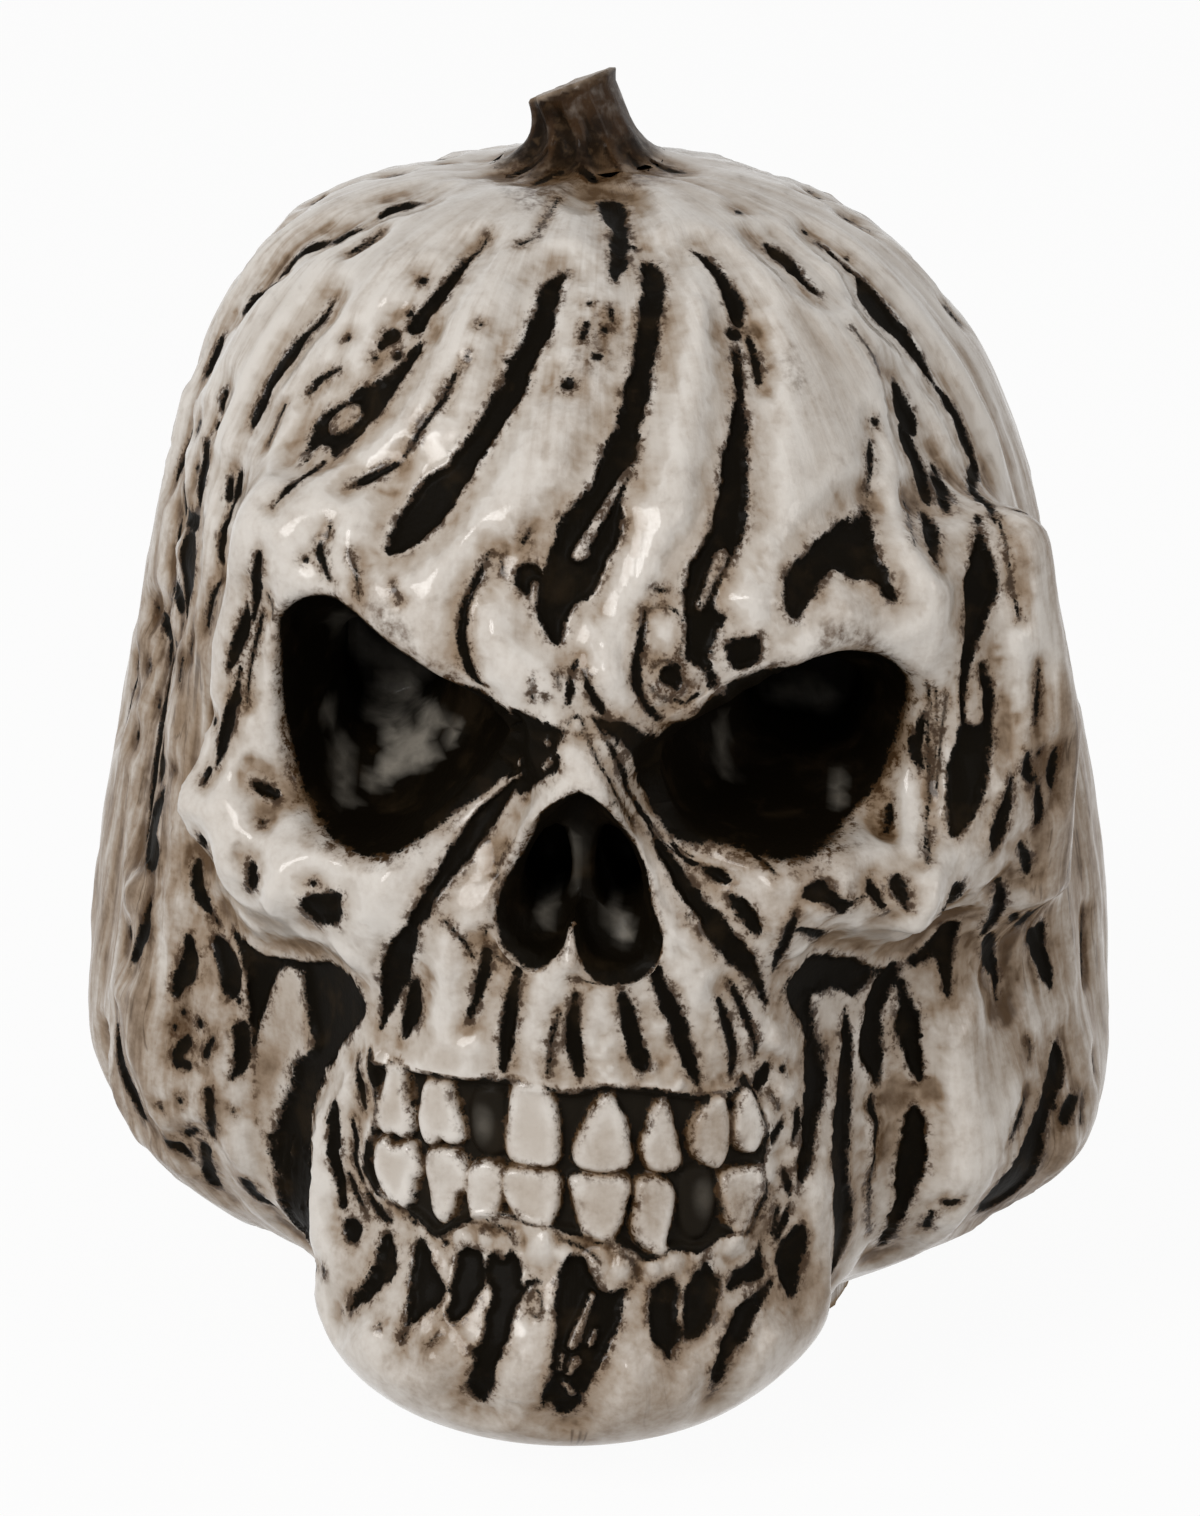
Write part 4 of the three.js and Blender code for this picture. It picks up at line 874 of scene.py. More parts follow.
teeth = [
    [(383, 1080), (388, 1070), (397, 1072), (398, 1085), (400, 1105), (405, 1115), (404, 1130), (398, 1137),
        (388, 1132), (380, 1133), (377, 1120), (379, 1100)],
    [(420, 1090), (428, 1085), (442, 1087), (448, 1105), (452, 1120), (456, 1140), (445, 1143), (435, 1137),
        (427, 1145), (420, 1138), (416, 1120), (418, 1105)],
    [(512, 1095), (522, 1087), (532, 1086), (542, 1092), (550, 1105), (555, 1120), (556, 1145), (554, 1162),
        (543, 1167), (525, 1165), (510, 1160), (506, 1145), (508, 1120)],
    [(605, 1102), (612, 1103), (620, 1115), (626, 1130), (629, 1150), (630, 1165), (615, 1172), (598, 1172),
        (582, 1168), (575, 1160), (578, 1145), (586, 1130), (592, 1118)],
    [(660, 1112), (667, 1106), (672, 1120), (677, 1140), (682, 1160), (678, 1170), (668, 1172), (655, 1170),
        (648, 1160), (646, 1148), (652, 1135), (655, 1122)],
    [(710, 1110), (718, 1103), (726, 1104), (731, 1118), (732, 1135), (730, 1155), (722, 1168), (712, 1165),
        (700, 1155), (697, 1140), (700, 1128), (706, 1118)],
    [(742, 1118), (750, 1098), (755, 1100), (762, 1118), (764, 1135), (760, 1150), (752, 1152), (742, 1145),
        (741, 1130)],
    [(374, 1147), (380, 1142), (386, 1150), (395, 1150), (402, 1148), (408, 1155), (412, 1165), (413, 1175),
        (405, 1180), (404, 1195), (400, 1203), (390, 1200), (380, 1190), (373, 1175), (371, 1160)],
    [(425, 1155), (437, 1153), (450, 1155), (457, 1165), (462, 1175), (462, 1188), (452, 1195), (446, 1210),
        (438, 1219), (430, 1210), (427, 1190), (423, 1170)],
    [(466, 1178), (472, 1168), (483, 1165), (493, 1168), (499, 1172), (499, 1190), (495, 1205), (485, 1215),
        (475, 1218), (468, 1210), (466, 1195)],
    [(503, 1175), (515, 1172), (535, 1175), (552, 1177), (558, 1185), (556, 1200), (552, 1215), (545, 1222),
        (530, 1221), (515, 1212), (506, 1200), (502, 1188)],
    [(572, 1182), (585, 1180), (605, 1180), (620, 1180), (630, 1188), (625, 1205), (622, 1220), (612, 1235),
        (598, 1239), (586, 1232), (580, 1215), (575, 1198)],
    [(640, 1188), (648, 1182), (660, 1182), (670, 1186), (675, 1195), (673, 1215), (668, 1235), (663, 1252),
        (655, 1248), (642, 1238), (636, 1225), (640, 1205)],
    [(730, 1180), (740, 1175), (755, 1172), (764, 1175), (765, 1190), (758, 1205), (752, 1222), (745, 1230),
        (735, 1222), (730, 1205), (728, 1190)],
]
dark_teeth = [
    [(466, 1098), (480, 1090), (496, 1092), (505, 1105), (506, 1130), (502, 1155), (485, 1160), (470, 1152),
        (463, 1130)],
    [(684, 1176), (700, 1168), (716, 1172), (724, 1190), (722, 1215), (712, 1236), (695, 1240), (684, 1225),
        (680, 1200)],
]
print(len(teeth), "teeth and", len(dark_teeth), "broken ones, left black")

# %% [markdown]
# ## Painted sheen in the black glaze
# Grey patches painted into the black stand for its sheen and reflections: one crumpled patch in the left eye,
# streaks in the nose and in the mouth, and a dark sheen down the middle of the widest grooves. On the bone,
# brown smudges were left round the right eye, on the rim of the nose and beside the stalk. They only colour
# the clay.

# %% Draw the painted sheen and the smudges
# Painted sheen: each entry is a strength, a grey patch's outline and its bare islands, painted where light is
# reflected.
painted_sheen_patches = [
    (0.9, [(378, 680), (400, 677), (415, 680), (419, 700), (421, 720), (433, 730), (428, 742), (438, 755),
        (421, 768), (396, 776), (376, 790), (370, 780), (383, 757), (386, 740), (378, 725), (362, 716),
        (371, 693)], [(408, 702, 3), (412, 716, 5), (417, 728, 3)], [(395, 722, 1), (402, 732, 2)]),
    (0.8, [(421, 697), (436, 705), (443, 716), (450, 714), (440, 728), (428, 732), (419, 712)]),
    (0.7, [(443, 748), (450, 730), (459, 716), (460, 733), (452, 744)]),
    (0.6, [(322, 708), (330, 696), (336, 705), (334, 722), (326, 720)]),
    (0.35, [(335, 730), (350, 745), (350, 790), (362, 800), (345, 808), (335, 790)]),
    (0.25, [(330, 615), (350, 612), (375, 640), (420, 665), (430, 680), (380, 670), (345, 645)]),
    (0.45, [(557, 875), (561, 872), (560, 890), (552, 915), (546, 925), (538, 920), (541, 900)]),
    (0.6, [(571, 830), (579, 832), (580, 860), (577, 880), (572, 897), (569, 893), (575, 865)]),
    (0.65, [(612, 882), (617, 884), (619, 905), (630, 925), (634, 938), (622, 942), (611, 925), (611, 905)]),
    (0.3, [(597, 840), (606, 850), (612, 875), (606, 880), (600, 862)]),
    (0.35, [(715, 735), (722, 718), (728, 726), (726, 752), (734, 775), (722, 776)]),
    (0.55, [(832, 772), (842, 770), (843, 795), (840, 808), (831, 806)]),
    (0.3, [(765, 705), (790, 682), (825, 682), (842, 700), (826, 720), (812, 708), (790, 702)]),
    (0.5, [(470, 1105), (488, 1100), (497, 1120), (492, 1150), (478, 1150), (470, 1130)]),
    (0.35, [(690, 1180), (712, 1175), (718, 1200), (708, 1225), (692, 1215)]),
    (0.4, [(572, 1140), (580, 1118), (594, 1104), (602, 1108), (590, 1125), (582, 1145), (574, 1158)]),
    (0.35, [(640, 1112), (650, 1108), (652, 1122), (644, 1146), (636, 1150)]),
    (0.35, [(614, 215), (622, 212), (628, 232), (624, 256), (616, 246)]),
    (0.3, [(418, 505), (450, 478), (480, 462), (470, 480), (440, 510), (420, 522)]),
    (0.35, [(565, 560), (590, 515), (612, 470), (618, 480), (600, 530), (575, 580)]),
]
smudges = [
    (0.9, [(812, 634), (835, 622), (860, 627), (885, 643), (902, 665), (910, 692), (906, 722), (901, 752),
        (893, 792), (881, 812), (884, 772), (890, 730), (888, 692), (875, 667), (850, 652), (820, 650)]),
    (0.8, [(499, 898), (497, 870), (508, 848), (526, 826), (549, 806), (570, 794), (577, 802), (556, 824),
        (537, 844), (517, 870), (505, 905)]),
    (0.8, [(588, 798), (609, 804), (630, 828), (643, 855), (653, 880), (660, 908), (652, 925), (642, 885),
        (628, 855), (610, 828)]),
    (1.0, [(368, 605), (386, 602), (397, 612), (410, 634), (418, 655), (440, 664), (470, 676), (490, 690),
        (480, 700), (440, 680), (400, 655)]),
    (0.7, [(283, 700), (281, 660), (290, 620), (303, 600), (296, 640), (290, 700), (296, 760), (305, 800),
        (296, 812), (286, 770)]),
    (0.5, [(560, 300), (590, 292), (625, 300), (628, 350), (610, 380), (572, 395), (556, 360), (575, 330)]),
    (0.4, [(596, 500), (606, 470), (616, 500), (600, 540)]),
    (0.5, [(780, 330), (800, 345), (815, 390), (800, 400), (780, 370)]),
    (1.0, [(510, 150), (560, 160), (610, 165), (660, 160), (690, 175), (640, 190), (600, 188), (560, 196),
        (530, 215), (515, 200), (490, 180)]),
    (0.5, [(805, 870), (850, 872), (905, 868), (900, 905), (850, 920), (800, 905)]),
    (0.6, [(655, 655), (690, 645), (720, 680), (700, 720), (665, 715), (648, 690)]),
    (0.5, [(540, 740), (565, 765), (560, 790), (540, 800), (520, 805)]),
    (0.6, [(755, 1180), (790, 1150), (795, 1200), (770, 1235), (735, 1240), (730, 1215)]),
    (0.5, [(100, 1040), (112, 1030), (130, 1100), (160, 1150), (240, 1200), (225, 1210), (150, 1165),
        (108, 1100)]),
]
# The grey patches counted here are painted sheen.
print(len(painted_sheen_patches), "pools of grey glaze and", len(smudges), "smudges")

# %% [markdown]
# ## Throwing the drawing on the clay
# A ray from the camera through each ball's place finds where it lands. A ball keeps its width in the
# photograph, so where the clay turns away it grows. A deep groove sinks away from the ray that drew it, so
# its balls are first moved aside by as much. They live on the clay from then on and look right from every
# side. A narrow mark is pressed less deep than a broad one.

# %% Throw the balls
clay_object = bpy.data.objects.new("glazed_clay", clay_mesh)
bpy.context.collection.objects.link(clay_object)
bpy.context.view_layer.update()
widest_stretch = 2.4
least_slope = 0.2
least_facing = 0.4
least_sink = 0.25
sink_per_pixel = 0.12
photo_middle = np.array([photo_width / 2, photo_height / 2])


def throw(balls, across, deep=0):
    landed = []
    for (x, y, half), (side_x, side_y) in zip(balls, across):
        aside = camera_right * (x - photo_middle[0]) + camera_up * (photo_middle[1] - y)
        ray = Vector(aside - camera_back * focal_pixels).normalized()
        hit, place, normal, _ = clay_object.ray_cast(Vector(camera_eye), ray)
        if not hit:
            continue
        if deep:
            slip = (normal + ray / max(-ray.dot(normal), least_facing)) * float(deep)
            _, place, normal, _ = clay_object.closest_point_on_mesh(place + slip)
        size = -(np.array(place) - camera_eye) @ camera_back / focal_pixels
        side = side_x * camera_right - side_y * camera_up
        tilt = (np.array(normal) @ side) / max(np.array(normal) @ camera_back, least_slope)
        landed.append([*place, half * size * min(math.hypot(1, tilt), widest_stretch)])
    return np.array(landed).reshape(-1, 4)


def throw_spots(spots):
    for x, y, half, *strength in spots:
        balls = throw(*balls_of([(x, y, half)]))
        if len(balls):
            yield balls[0, :3], balls[0, 3], *strength


thrown = []
for sink, shape, islands in drawing:
    balls, across = balls_of(shape)
    deep = sink * min(1, least_sink + balls[:, 2].max() * sink_per_pixel)
    thrown.append((sink, throw(balls, across, deep), [throw(*balls_of(island), deep) for island in islands]))
print(sum(len(balls) for _, balls, _ in thrown), "balls on the clay")

# %% [markdown]
# ## Marks where the camera can't see
# The back, the far flanks and the underside carry the same kind of marks: specks, scratches and a few long
# grooves that follow the lobes down. They are thrown from all round towards the middle, from a seeded
# random source, only where the photograph shows nothing, and never over the vent's edge. Each kind has a
# count, a range of lengths, a range of half widths and a strength.

# %% Mark the hidden sides
random_marks = np.random.default_rng(20)
hub = np.array([0, 0, hub_height])
mark_kinds = {
    "specks": (420, (0.5, 4.5), (0.35, 0.9), 0.9),
    "scratches": (170, (5, 15), (0.45, 1.2), 1.4),
    "grooves": (46, (16, 42), (0.9, 2.2), 2.2),
}
polar_range = (0.25, 2.2)
step_along_clay = 0.9
first_drift = 0.12
change_of_drift = 0.05
valley_share = 0.6
seen_slope = 0.28
vent_margin = 3
outside_all = 150


def throw_inwards(turn, polar, half):
    flat = math.sin(polar)
    way = np.array([math.sin(turn) * flat, -math.cos(turn) * flat, math.cos(polar)])
    hit, place, normal, _ = clay_object.ray_cast(Vector(hub + outside_all * way), Vector(-way))
    return ([*place, half], np.array(normal)) if hit else (None, None)


def by_vent(place):
    return place[1] > 0 and math.hypot(place[0], place[2] - vent_height) < vent_radius + vent_margin


def hidden_mark(kind):
    _, lengths, halves, _ = mark_kinds[kind]
    length = random_marks.uniform(*lengths)
    half = random_marks.uniform(*halves)
    polar = random_marks.uniform(*polar_range)
    turn = random_marks.uniform(-math.pi, math.pi)
    if kind != "specks" and random_marks.random() < valley_share:
        valley_turn = valleys[random_marks.integers(len(valleys))][0]
        turn = 2 * math.pi * (valley_turn + random_marks.normal(0, 0.008))
    drift = random_marks.normal(0, first_drift)
    steps = max(1, int(length / step_along_clay))
    balls = []
    for i in range(steps):
        share = (i + 0.5) / steps
        swell = half * math.sin(math.pi * share) ** 0.6 * random_marks.uniform(0.85, 1.15)
        ball_here, normal = throw_inwards(turn, polar, swell)
        if ball_here is None or normal @ camera_back > seen_slope or by_vent(ball_here):
            return None
        balls.append(ball_here)
        polar += step_along_clay / hub_height
        drift += random_marks.normal(0, change_of_drift)
        turn += step_along_clay * drift / (hub_height * max(math.sin(polar), 0.2))
    return np.array(balls)


hidden_marks = 0
for kind, (count, _, _, sink) in mark_kinds.items():
    for _ in range(count):
        balls = hidden_mark(kind)
        if balls is not None:
            thrown.append((sink, balls, []))
            hidden_marks += 1
print(hidden_marks, "marks on the hidden sides")

# %% [markdown]
# ## Pressing the grooves in
# Each corner of the mesh learns how far it lies from the nearest mark. That one number sinks the groove and
# later tells the glaze where the stain is. A tool tears clay a little, so the edge wavers by layers of noise,
# each with a strength, a size in millimetres and a seed. Beside a groove the clay rolls over softly, and
# where two rolls meet their sum leaves a round strand.

# %% Distances from the marks
mark_reach = 6
deepest_roll = 3.2
deepest_mark = 4.7
roll_share = 1.1
cut_share = 0.65
full_sink_width = 1.2
roll_start = 2.4
roll_growth = 2.2
full_tear_width = 1.4
tear = ((0.7, 2.6, 5), (0.5, 0.9, 6))
lattice_size = 32


def gap_to(points, balls):
    centres = balls[:, :3]

    def gap_of_batch(some):
        square = (some**2).sum(1)[:, None] + (centres**2).sum(1) - 2 * some @ centres.T
        return (np.sqrt(np.maximum(square, 0)) - balls[:, 3]).min(1)

    return in_batches(gap_of_batch, points, 2000) if len(points) else np.empty(0)


def wobble(points, size, seed):
    lattice = np.random.default_rng(seed).random([lattice_size] * 3)
    place = points / size
    cell = np.floor(place).astype(int)
    share = smoothstep(place - cell, 0, 1)
    total = 0
    for step in np.ndindex(2, 2, 2):
        weight = np.where(step, share, 1 - share).prod(1)
        x, y, z = ((cell + step) % lattice_size).T
        total = total + weight * lattice[x, y, z]
    return total


def torn_edge(points, layers):
    return sum(strength * (wobble(points, size, seed) - 0.5) for strength, size, seed in layers)


def marks_at(points, on_skin):
    torn = torn_edge(points, tear)
    stain = np.full(len(points), float(mark_reach))
    cut = np.zeros(len(points))
    roll = np.zeros(len(points))
    for sink, balls, islands in thrown:
        if not len(balls):
            continue
        widest = balls[:, 3].max()
        near = np.flatnonzero(on_skin & near_box(points, balls[:, :3], widest + mark_reach))
        gap = gap_to(points[near], balls) + torn[near] * min(1, widest / full_tear_width)
        amount = sink * min(1, least_sink + widest / full_sink_width)
        fall = min(mark_reach, roll_start + roll_growth * widest)
        roll[near] += roll_share * amount * (1 - np.clip(gap / fall, 0, 1) ** 2) ** 2
        for island in islands:
            gap = np.maximum(gap, -gap_to(points[near], island))
        stain[near] = np.minimum(stain[near], gap)
        cut[near] = np.maximum(cut[near], cut_share * amount * smoothstep(-gap, -0.25, 1.0))
    return stain, cut + deepest_roll * np.tanh(roll / deepest_roll)


def seen_in_photo(points):
    away = points - camera_eye
    depth = -away @ camera_back
    place = np.column_stack([
        photo_middle[0] + focal_pixels * (away @ camera_right) / depth,
        photo_middle[1] - focal_pixels * (away @ camera_up) / depth,
    ])
    return place, depth / focal_pixels


# %% [markdown]
# ## Finer quads along the drawing
# Only the edge of a mark needs more corners, so the quads that the stain's edge crosses are split, and all
# those round the mouth. The corners then settle on the clay again and learn their marks.

# %% Split the quads near the drawing once more
deepest_skin = -2.2
edge_width = 1.1
middles = vectors_of(clay_mesh.polygons, "center")
on_skin = in_batches(skin, middles) > deepest_skin
stain, _ = marks_at(middles, on_skin)
place, _ = seen_in_photo(middles)
around_mouth = near_box(place, mouth_line, 8) & (middles[:, 1] < -40) & on_skin
split_quads(clay_mesh, (np.abs(stain) < edge_width) | around_mouth)
corners = settle(vectors_of(clay_mesh.vertices, "co"), 1)
set_corners(clay_mesh, corners)
skin_depth = in_batches(skin, corners)
on_skin = skin_depth > deepest_skin
stain, relief = marks_at(corners, on_skin)
print(len(corners), "corners,", int((stain < 0).sum()), "of them in the stain")

# %% [markdown]
# ## The touch of the hand
# Between the drawn marks the clay isn't smooth: fingers left soft flutes down the flanks and low lumps on
# the bone. The same noise does this, and down the flanks it is stretched along the pumpkin's meridians.

# %% Flutes and lumps
flow_radius = 60
lump_height = 0.35
turn = turn_of(corners)
angle = 2 * math.pi * turn
polar = np.arctan2(np.hypot(corners[:, 0], corners[:, 1]), corners[:, 2] - hub_height)
flow = np.column_stack([flow_radius * np.cos(angle), flow_radius * np.sin(angle), polar * hub_height])
flank = smoothstep(np.abs(turn), 0.1, 0.17)
crown = smoothstep(-polar, -0.95, -0.5)
flutes = wobble(flow * [1, 1, 0.13], 4.2, 1) + 0.5 * wobble(flow * [1, 1, 0.2], 2.1, 2)
lumps = wobble(corners, 7, 3) + 0.4 * wobble(corners, 3, 4)
flute_height = (0.15 + 0.75 * np.maximum(flank, 0.5 * crown)) * flutes * np.clip(2 * np.sin(polar), 0, 1)
hand = flute_height + lump_height * lumps
hand *= smoothstep(corners[:, 2], 4, 12)
relief += hand * smoothstep(skin_depth, -2.5, -1)

# %% [markdown]
# ## Mouth and teeth in the clay
# The mouth is sunk as one pool, and each tooth stands up out of it with a rounded edge. Both are measured
# in the photograph's plane, where they were drawn.

# %% Sink the mouth and raise the teeth
mouth_sink = 3.4
tooth_roundness = 1.2
tooth_growth = 0.75
tooth_height = 0.85
stained_height = 0.6
gum_slope = 1.6
bead_spread = 1.2
bead_height = 0.5
mouth_tear = ((0.9, 1.4, 7), (0.6, 0.7, 8))
in_photo, pixel_size = seen_in_photo(corners)
normals = vectors_of(clay_mesh.vertices, "normal")
facing = normals @ camera_back
by_mouth = np.flatnonzero(on_skin & (facing > 0.1) & near_box(in_photo, mouth_line, 30))


def gap_to_outline(outline):
    smooth = flowing_line(outline, 3, closed=True)
    return outline_distance(in_photo[by_mouth], smooth) * pixel_size[by_mouth]


mouth_gap = gap_to_outline(mouth_line)
tooth_gap = np.min([gap_to_outline(tooth) for tooth in teeth], 0) - tooth_growth
dark_gap = np.min([gap_to_outline(tooth) for tooth in dark_teeth], 0)
all_gap = np.minimum(tooth_gap, dark_gap)
crest = np.sqrt(1 - (1 - np.clip(-all_gap / tooth_roundness, 0, 1)) ** 2)
crest = crest * np.where(dark_gap < tooth_gap, stained_height, 1)
gum = mouth_sink * smoothstep(-mouth_gap, -0.3, gum_slope)
lumps_here = lump_height * lumps[by_mouth] * crest
around = relief[by_mouth] * smoothstep(mouth_gap, -gum_slope, 0)
relief[by_mouth] = np.maximum(around, gum * (1 - tooth_height * crest) + lumps_here)
for place, radius in throw_spots(beads):
    away = np.linalg.norm(corners - place, axis=1) / (bead_spread * radius)
    relief -= bead_height * radius * (1 - np.clip(away, 0, 1) ** 2) ** 1.5
relief = deepest_mark * np.tanh(relief / deepest_mark)
in_mouth = np.maximum(mouth_gap, -tooth_gap) + 0.8 * torn_edge(corners[by_mouth], mouth_tear)
stain[by_mouth] = np.where(mouth_gap < 0.4, in_mouth, stain[by_mouth])
enamel = np.zeros(len(corners))
enamel[by_mouth] = smoothstep(-tooth_gap, 0.1, 1.0)
gullet = np.zeros(len(corners))
gullet[by_mouth] = smoothstep(-mouth_gap, 0, 1)

set_corners(clay_mesh, corners - normals * relief[:, None])
print("deepest mark", round(float(relief.max()), 1), "mm")

# %% [markdown]
# ## Hollows and ridges
# When a potter wipes a stained pot, the cloth skips the hollows and rubs the ridges bare. Here the hollows
# are darkened partly by that stain and partly by painted shade, and the ridges are made paler as a painted
# highlight.
# To know which is which, the mesh is smoothed in thought: a corner that the smoothing lifts lies in a hollow,
# and one that it lowers lies on a ridge.

# %% Measure hollows and ridges
def hollowness(mesh, rounds):
    ends = np.empty(2 * len(mesh.edges), np.int32)
    mesh.edges.foreach_get("vertices", ends)
    first, second = ends.reshape(-1, 2).T
    points = vectors_of(mesh.vertices, "co")
    count = np.bincount(ends, minlength=len(points))
    smooth = points
    for _ in range(rounds):
        total = np.column_stack([
            np.bincount(first, smooth[second, axis], len(points))
            + np.bincount(second, smooth[first, axis], len(points)) for axis in range(3)])
        smooth = (smooth + total / count[:, None]) / 2
    return ((smooth - points) * vectors_of(mesh.vertices, "normal")).sum(1)


low_places = 0.6 * hollowness(clay_mesh, 60) + hollowness(clay_mesh, 8)
print("hollowness", np.percentile(low_places, [2, 20, 50, 80, 98]).round(2))

# %% [markdown]
# ## What the glaze reads off the clay
# The rims of the eyes and the nose count as marks too, so the stain reaches over them. Grime and painted
# shade lie down the flanks and in the lobes' valleys, and soft washes of (x, y, reach, strength), thrown like
# the marks,
# make them heavier or lighter in places: the washes are partly brown stain and partly painted shade and
# light.
# Each corner then carries a dozen numbers that the glaze's recipe reads by name.

# %% Rims, grime with painted shade, and patches
rim_depth = 1.3
rim_margin = 0.4
patch_margin = 5
stainless_from = crown_height - 8
stalk_depth = stalk(corners)
on_stalk = (corners[:, 2] > stainless_from) & (stalk_depth < 2.5) & (skin_depth > 0.15)
rim_gap = np.full(len(corners), float(mark_reach))
for cut, _ in openings[:3]:
    near = cut.near(corners, mark_reach)
    rim_gap[near] = np.minimum(rim_gap[near], cut.distance(corners[near]) - rim_margin)
over_rim = skin_depth + rim_depth
rim_gap = np.where(skin_depth < -rim_depth, over_rim, np.maximum(rim_gap, over_rim))
stain = np.minimum(stain, np.where(on_stalk, mark_reach, rim_gap))
# Grime and painted shade: darker down the flanks and in the lobes' valleys, less towards the crown.
grime_and_shade = 0.6 * flank + 0.3 * smoothstep(valley_at(turn), 0.5, 1.3) * flank
grime_and_shade = 0.12 + grime_and_shade * smoothstep(polar, 0.5, 1.3)
# Washes of grime and painted shade; the negative ones paint light.
grime_and_shade_washes = [
    (580, 165, 70, 0.9), (520, 170, 45, 0.5), (665, 175, 45, 0.5), (600, 195, 50, 0.4), (400, 200, 40, 0.3),
    (1075, 760, 50, 0.3), (1085, 870, 60, 0.2), (190, 1020, 60, 0.4), (215, 960, 40, 0.4),
    (860, 610, 40, 0.3), (905, 740, 30, 0.4), (680, 710, 35, 0.4), (345, 420, 30, 0.4), (975, 700, 25, 0.5),
    (965, 775, 25, 0.3), (860, 880, 35, 0.5), (735, 1205, 35, 0.5), (290, 1150, 30, 0.4),
    (880, 1110, 40, 0.3), (600, 330, 40, 0.4), (560, 1440, 110, 0.45), (430, 1330, 60, 0.3),
    (680, 1360, 90, 0.5), (800, 1280, 60, 0.6), (360, 1260, 40, 0.5), (640, 1200, 60, 0.4),
    (700, 1120, 50, 0.4), (720, 840, 40, 0.5), (790, 900, 45, 0.5), (480, 900, 30, 0.5),
    (300, 780, 30, 0.5), (360, 600, 30, 0.5), (450, 655, 35, 0.5), (540, 540, 35, 0.5), (600, 720, 25, 0.5),
    (660, 665, 30, 0.5), (240, 600, 50, 0.3), (250, 700, 40, 0.3), (300, 1030, 30, 0.5),
    (790, 1020, 40, 0.5), (620, 520, 30, 0.4), (850, 1180, 60, 0.4), (520, 1000, 60, 0.2),
    (160, 640, 60, 0.3), (150, 880, 50, 0.3), (200, 640, 60, 0.4), (170, 780, 60, 0.2),
    (430, 1380, 60, 0.25), (560, 1420, 60, 0.3), (800, 1320, 50, 0.3), (600, 400, 50, 0.3),
    (580, 770, 25, 0.2), (540, 440, 40, 0.2), (930, 400, 80, -0.4), (300, 290, 70, -0.2),
    (1040, 1020, 70, -0.4), (1050, 640, 55, -0.7), (360, 940, 30, -0.4), (1000, 500, 60, -0.4),
    (500, 460, 40, -0.3), (1010, 1120, 60, -0.4), (290, 900, 40, -0.3), (840, 300, 60, -0.3),
]
for place, radius, strength in throw_spots(grime_and_shade_washes):
    gap = np.linalg.norm(corners - place, axis=1) / radius
    grime_and_shade = grime_and_shade + strength * np.exp(-gap**2)
grime_and_shade = np.clip(grime_and_shade, 0, 1.2)


def patched(patches, soft):
    share = np.zeros(len(corners))
    for strength, shape, *islands in patches:
        balls = throw(*balls_of(shape))
        near = np.flatnonzero(near_box(corners, balls[:, :3], patch_margin))
        gap = gap_to(corners[near], balls)
        for island in islands:
            gap = np.maximum(gap, -gap_to(corners[near], throw(*balls_of(island))))
        share[near] = np.maximum(share[near], strength * smoothstep(-gap, -soft, 1.2 * soft))
    return share


def carry(name, values, kind="FLOAT"):
    attribute = clay_mesh.attributes.new(name, kind, "POINT")
    field = "value" if kind == "FLOAT" else "vector"
    attribute.data.foreach_set(field, np.ascontiguousarray(values, np.float32).ravel())


clay_values = {
    "stain": np.clip(stain, -mark_reach, mark_reach),
    "low": np.clip(low_places, -1.5, 1.5),
    "grime_and_shade": grime_and_shade,
    "enamel": enamel,
    "gullet": gullet,
    "painted_sheen": patched(painted_sheen_patches, 0.8),
    "smudge": patched(smudges, 2.2),
    "amber": patched(amber_spots, 0.8),
    "stalk": smoothstep(-stalk_depth, -4.5, 0.6) * (corners[:, 2] > stalk_lowest),
    "brushed": np.maximum(flank, 0.6 * crown),
    "sawn": smoothstep(stalk_cut(corners), -1.1, -0.3),
    "bare": smoothstep(-corners[:, 2], 1.2, 2.6) * (skin_depth > -4),
}
for name, values in clay_values.items():
    carry(name, values)
carry("flow", flow, "FLOAT_VECTOR")
print("attributes:", [item.name for item in clay_mesh.attributes if item.domain == "POINT"])

# %% [markdown]
# ## Stalk and shell part
# The stalk was modelled by itself and stuck on, so it leaves as a piece of its own. Both pieces keep the
# direction that light saw at each corner before the cut, and a cap closes each, so the seam doesn't show.

# %% Part the stalk from the shell
stalk_reach = 12.5
seam_height = crown_height - 7
carry("facing", vectors_of(clay_mesh.vertices, "normal"), "FLOAT_VECTOR")
middles = vectors_of(clay_mesh.polygons, "center")
in_stalk = np.hypot(middles[:, 0] - stalk_x, middles[:, 1] - stalk_y) < stalk_reach
in_stalk &= middles[:, 2] > seam_height


def drop_crumbs(body):
    waiting = set(body.verts)
    islands = []
    while waiting:
        island = [waiting.pop()]
        for corner in island:
            for edge in corner.link_edges:
                other = edge.other_vert(corner)
                if other in waiting:
                    waiting.remove(other)
                    island.append(other)
        islands.append(island)
    islands.sort(key=len)
    crumbs = [corner for island in islands[:-1] for corner in island]
    bmesh.ops.delete(body, geom=crumbs, context="VERTS")
    print(len(islands) - 1, "loose crumbs of", len(crumbs), "corners dropped")


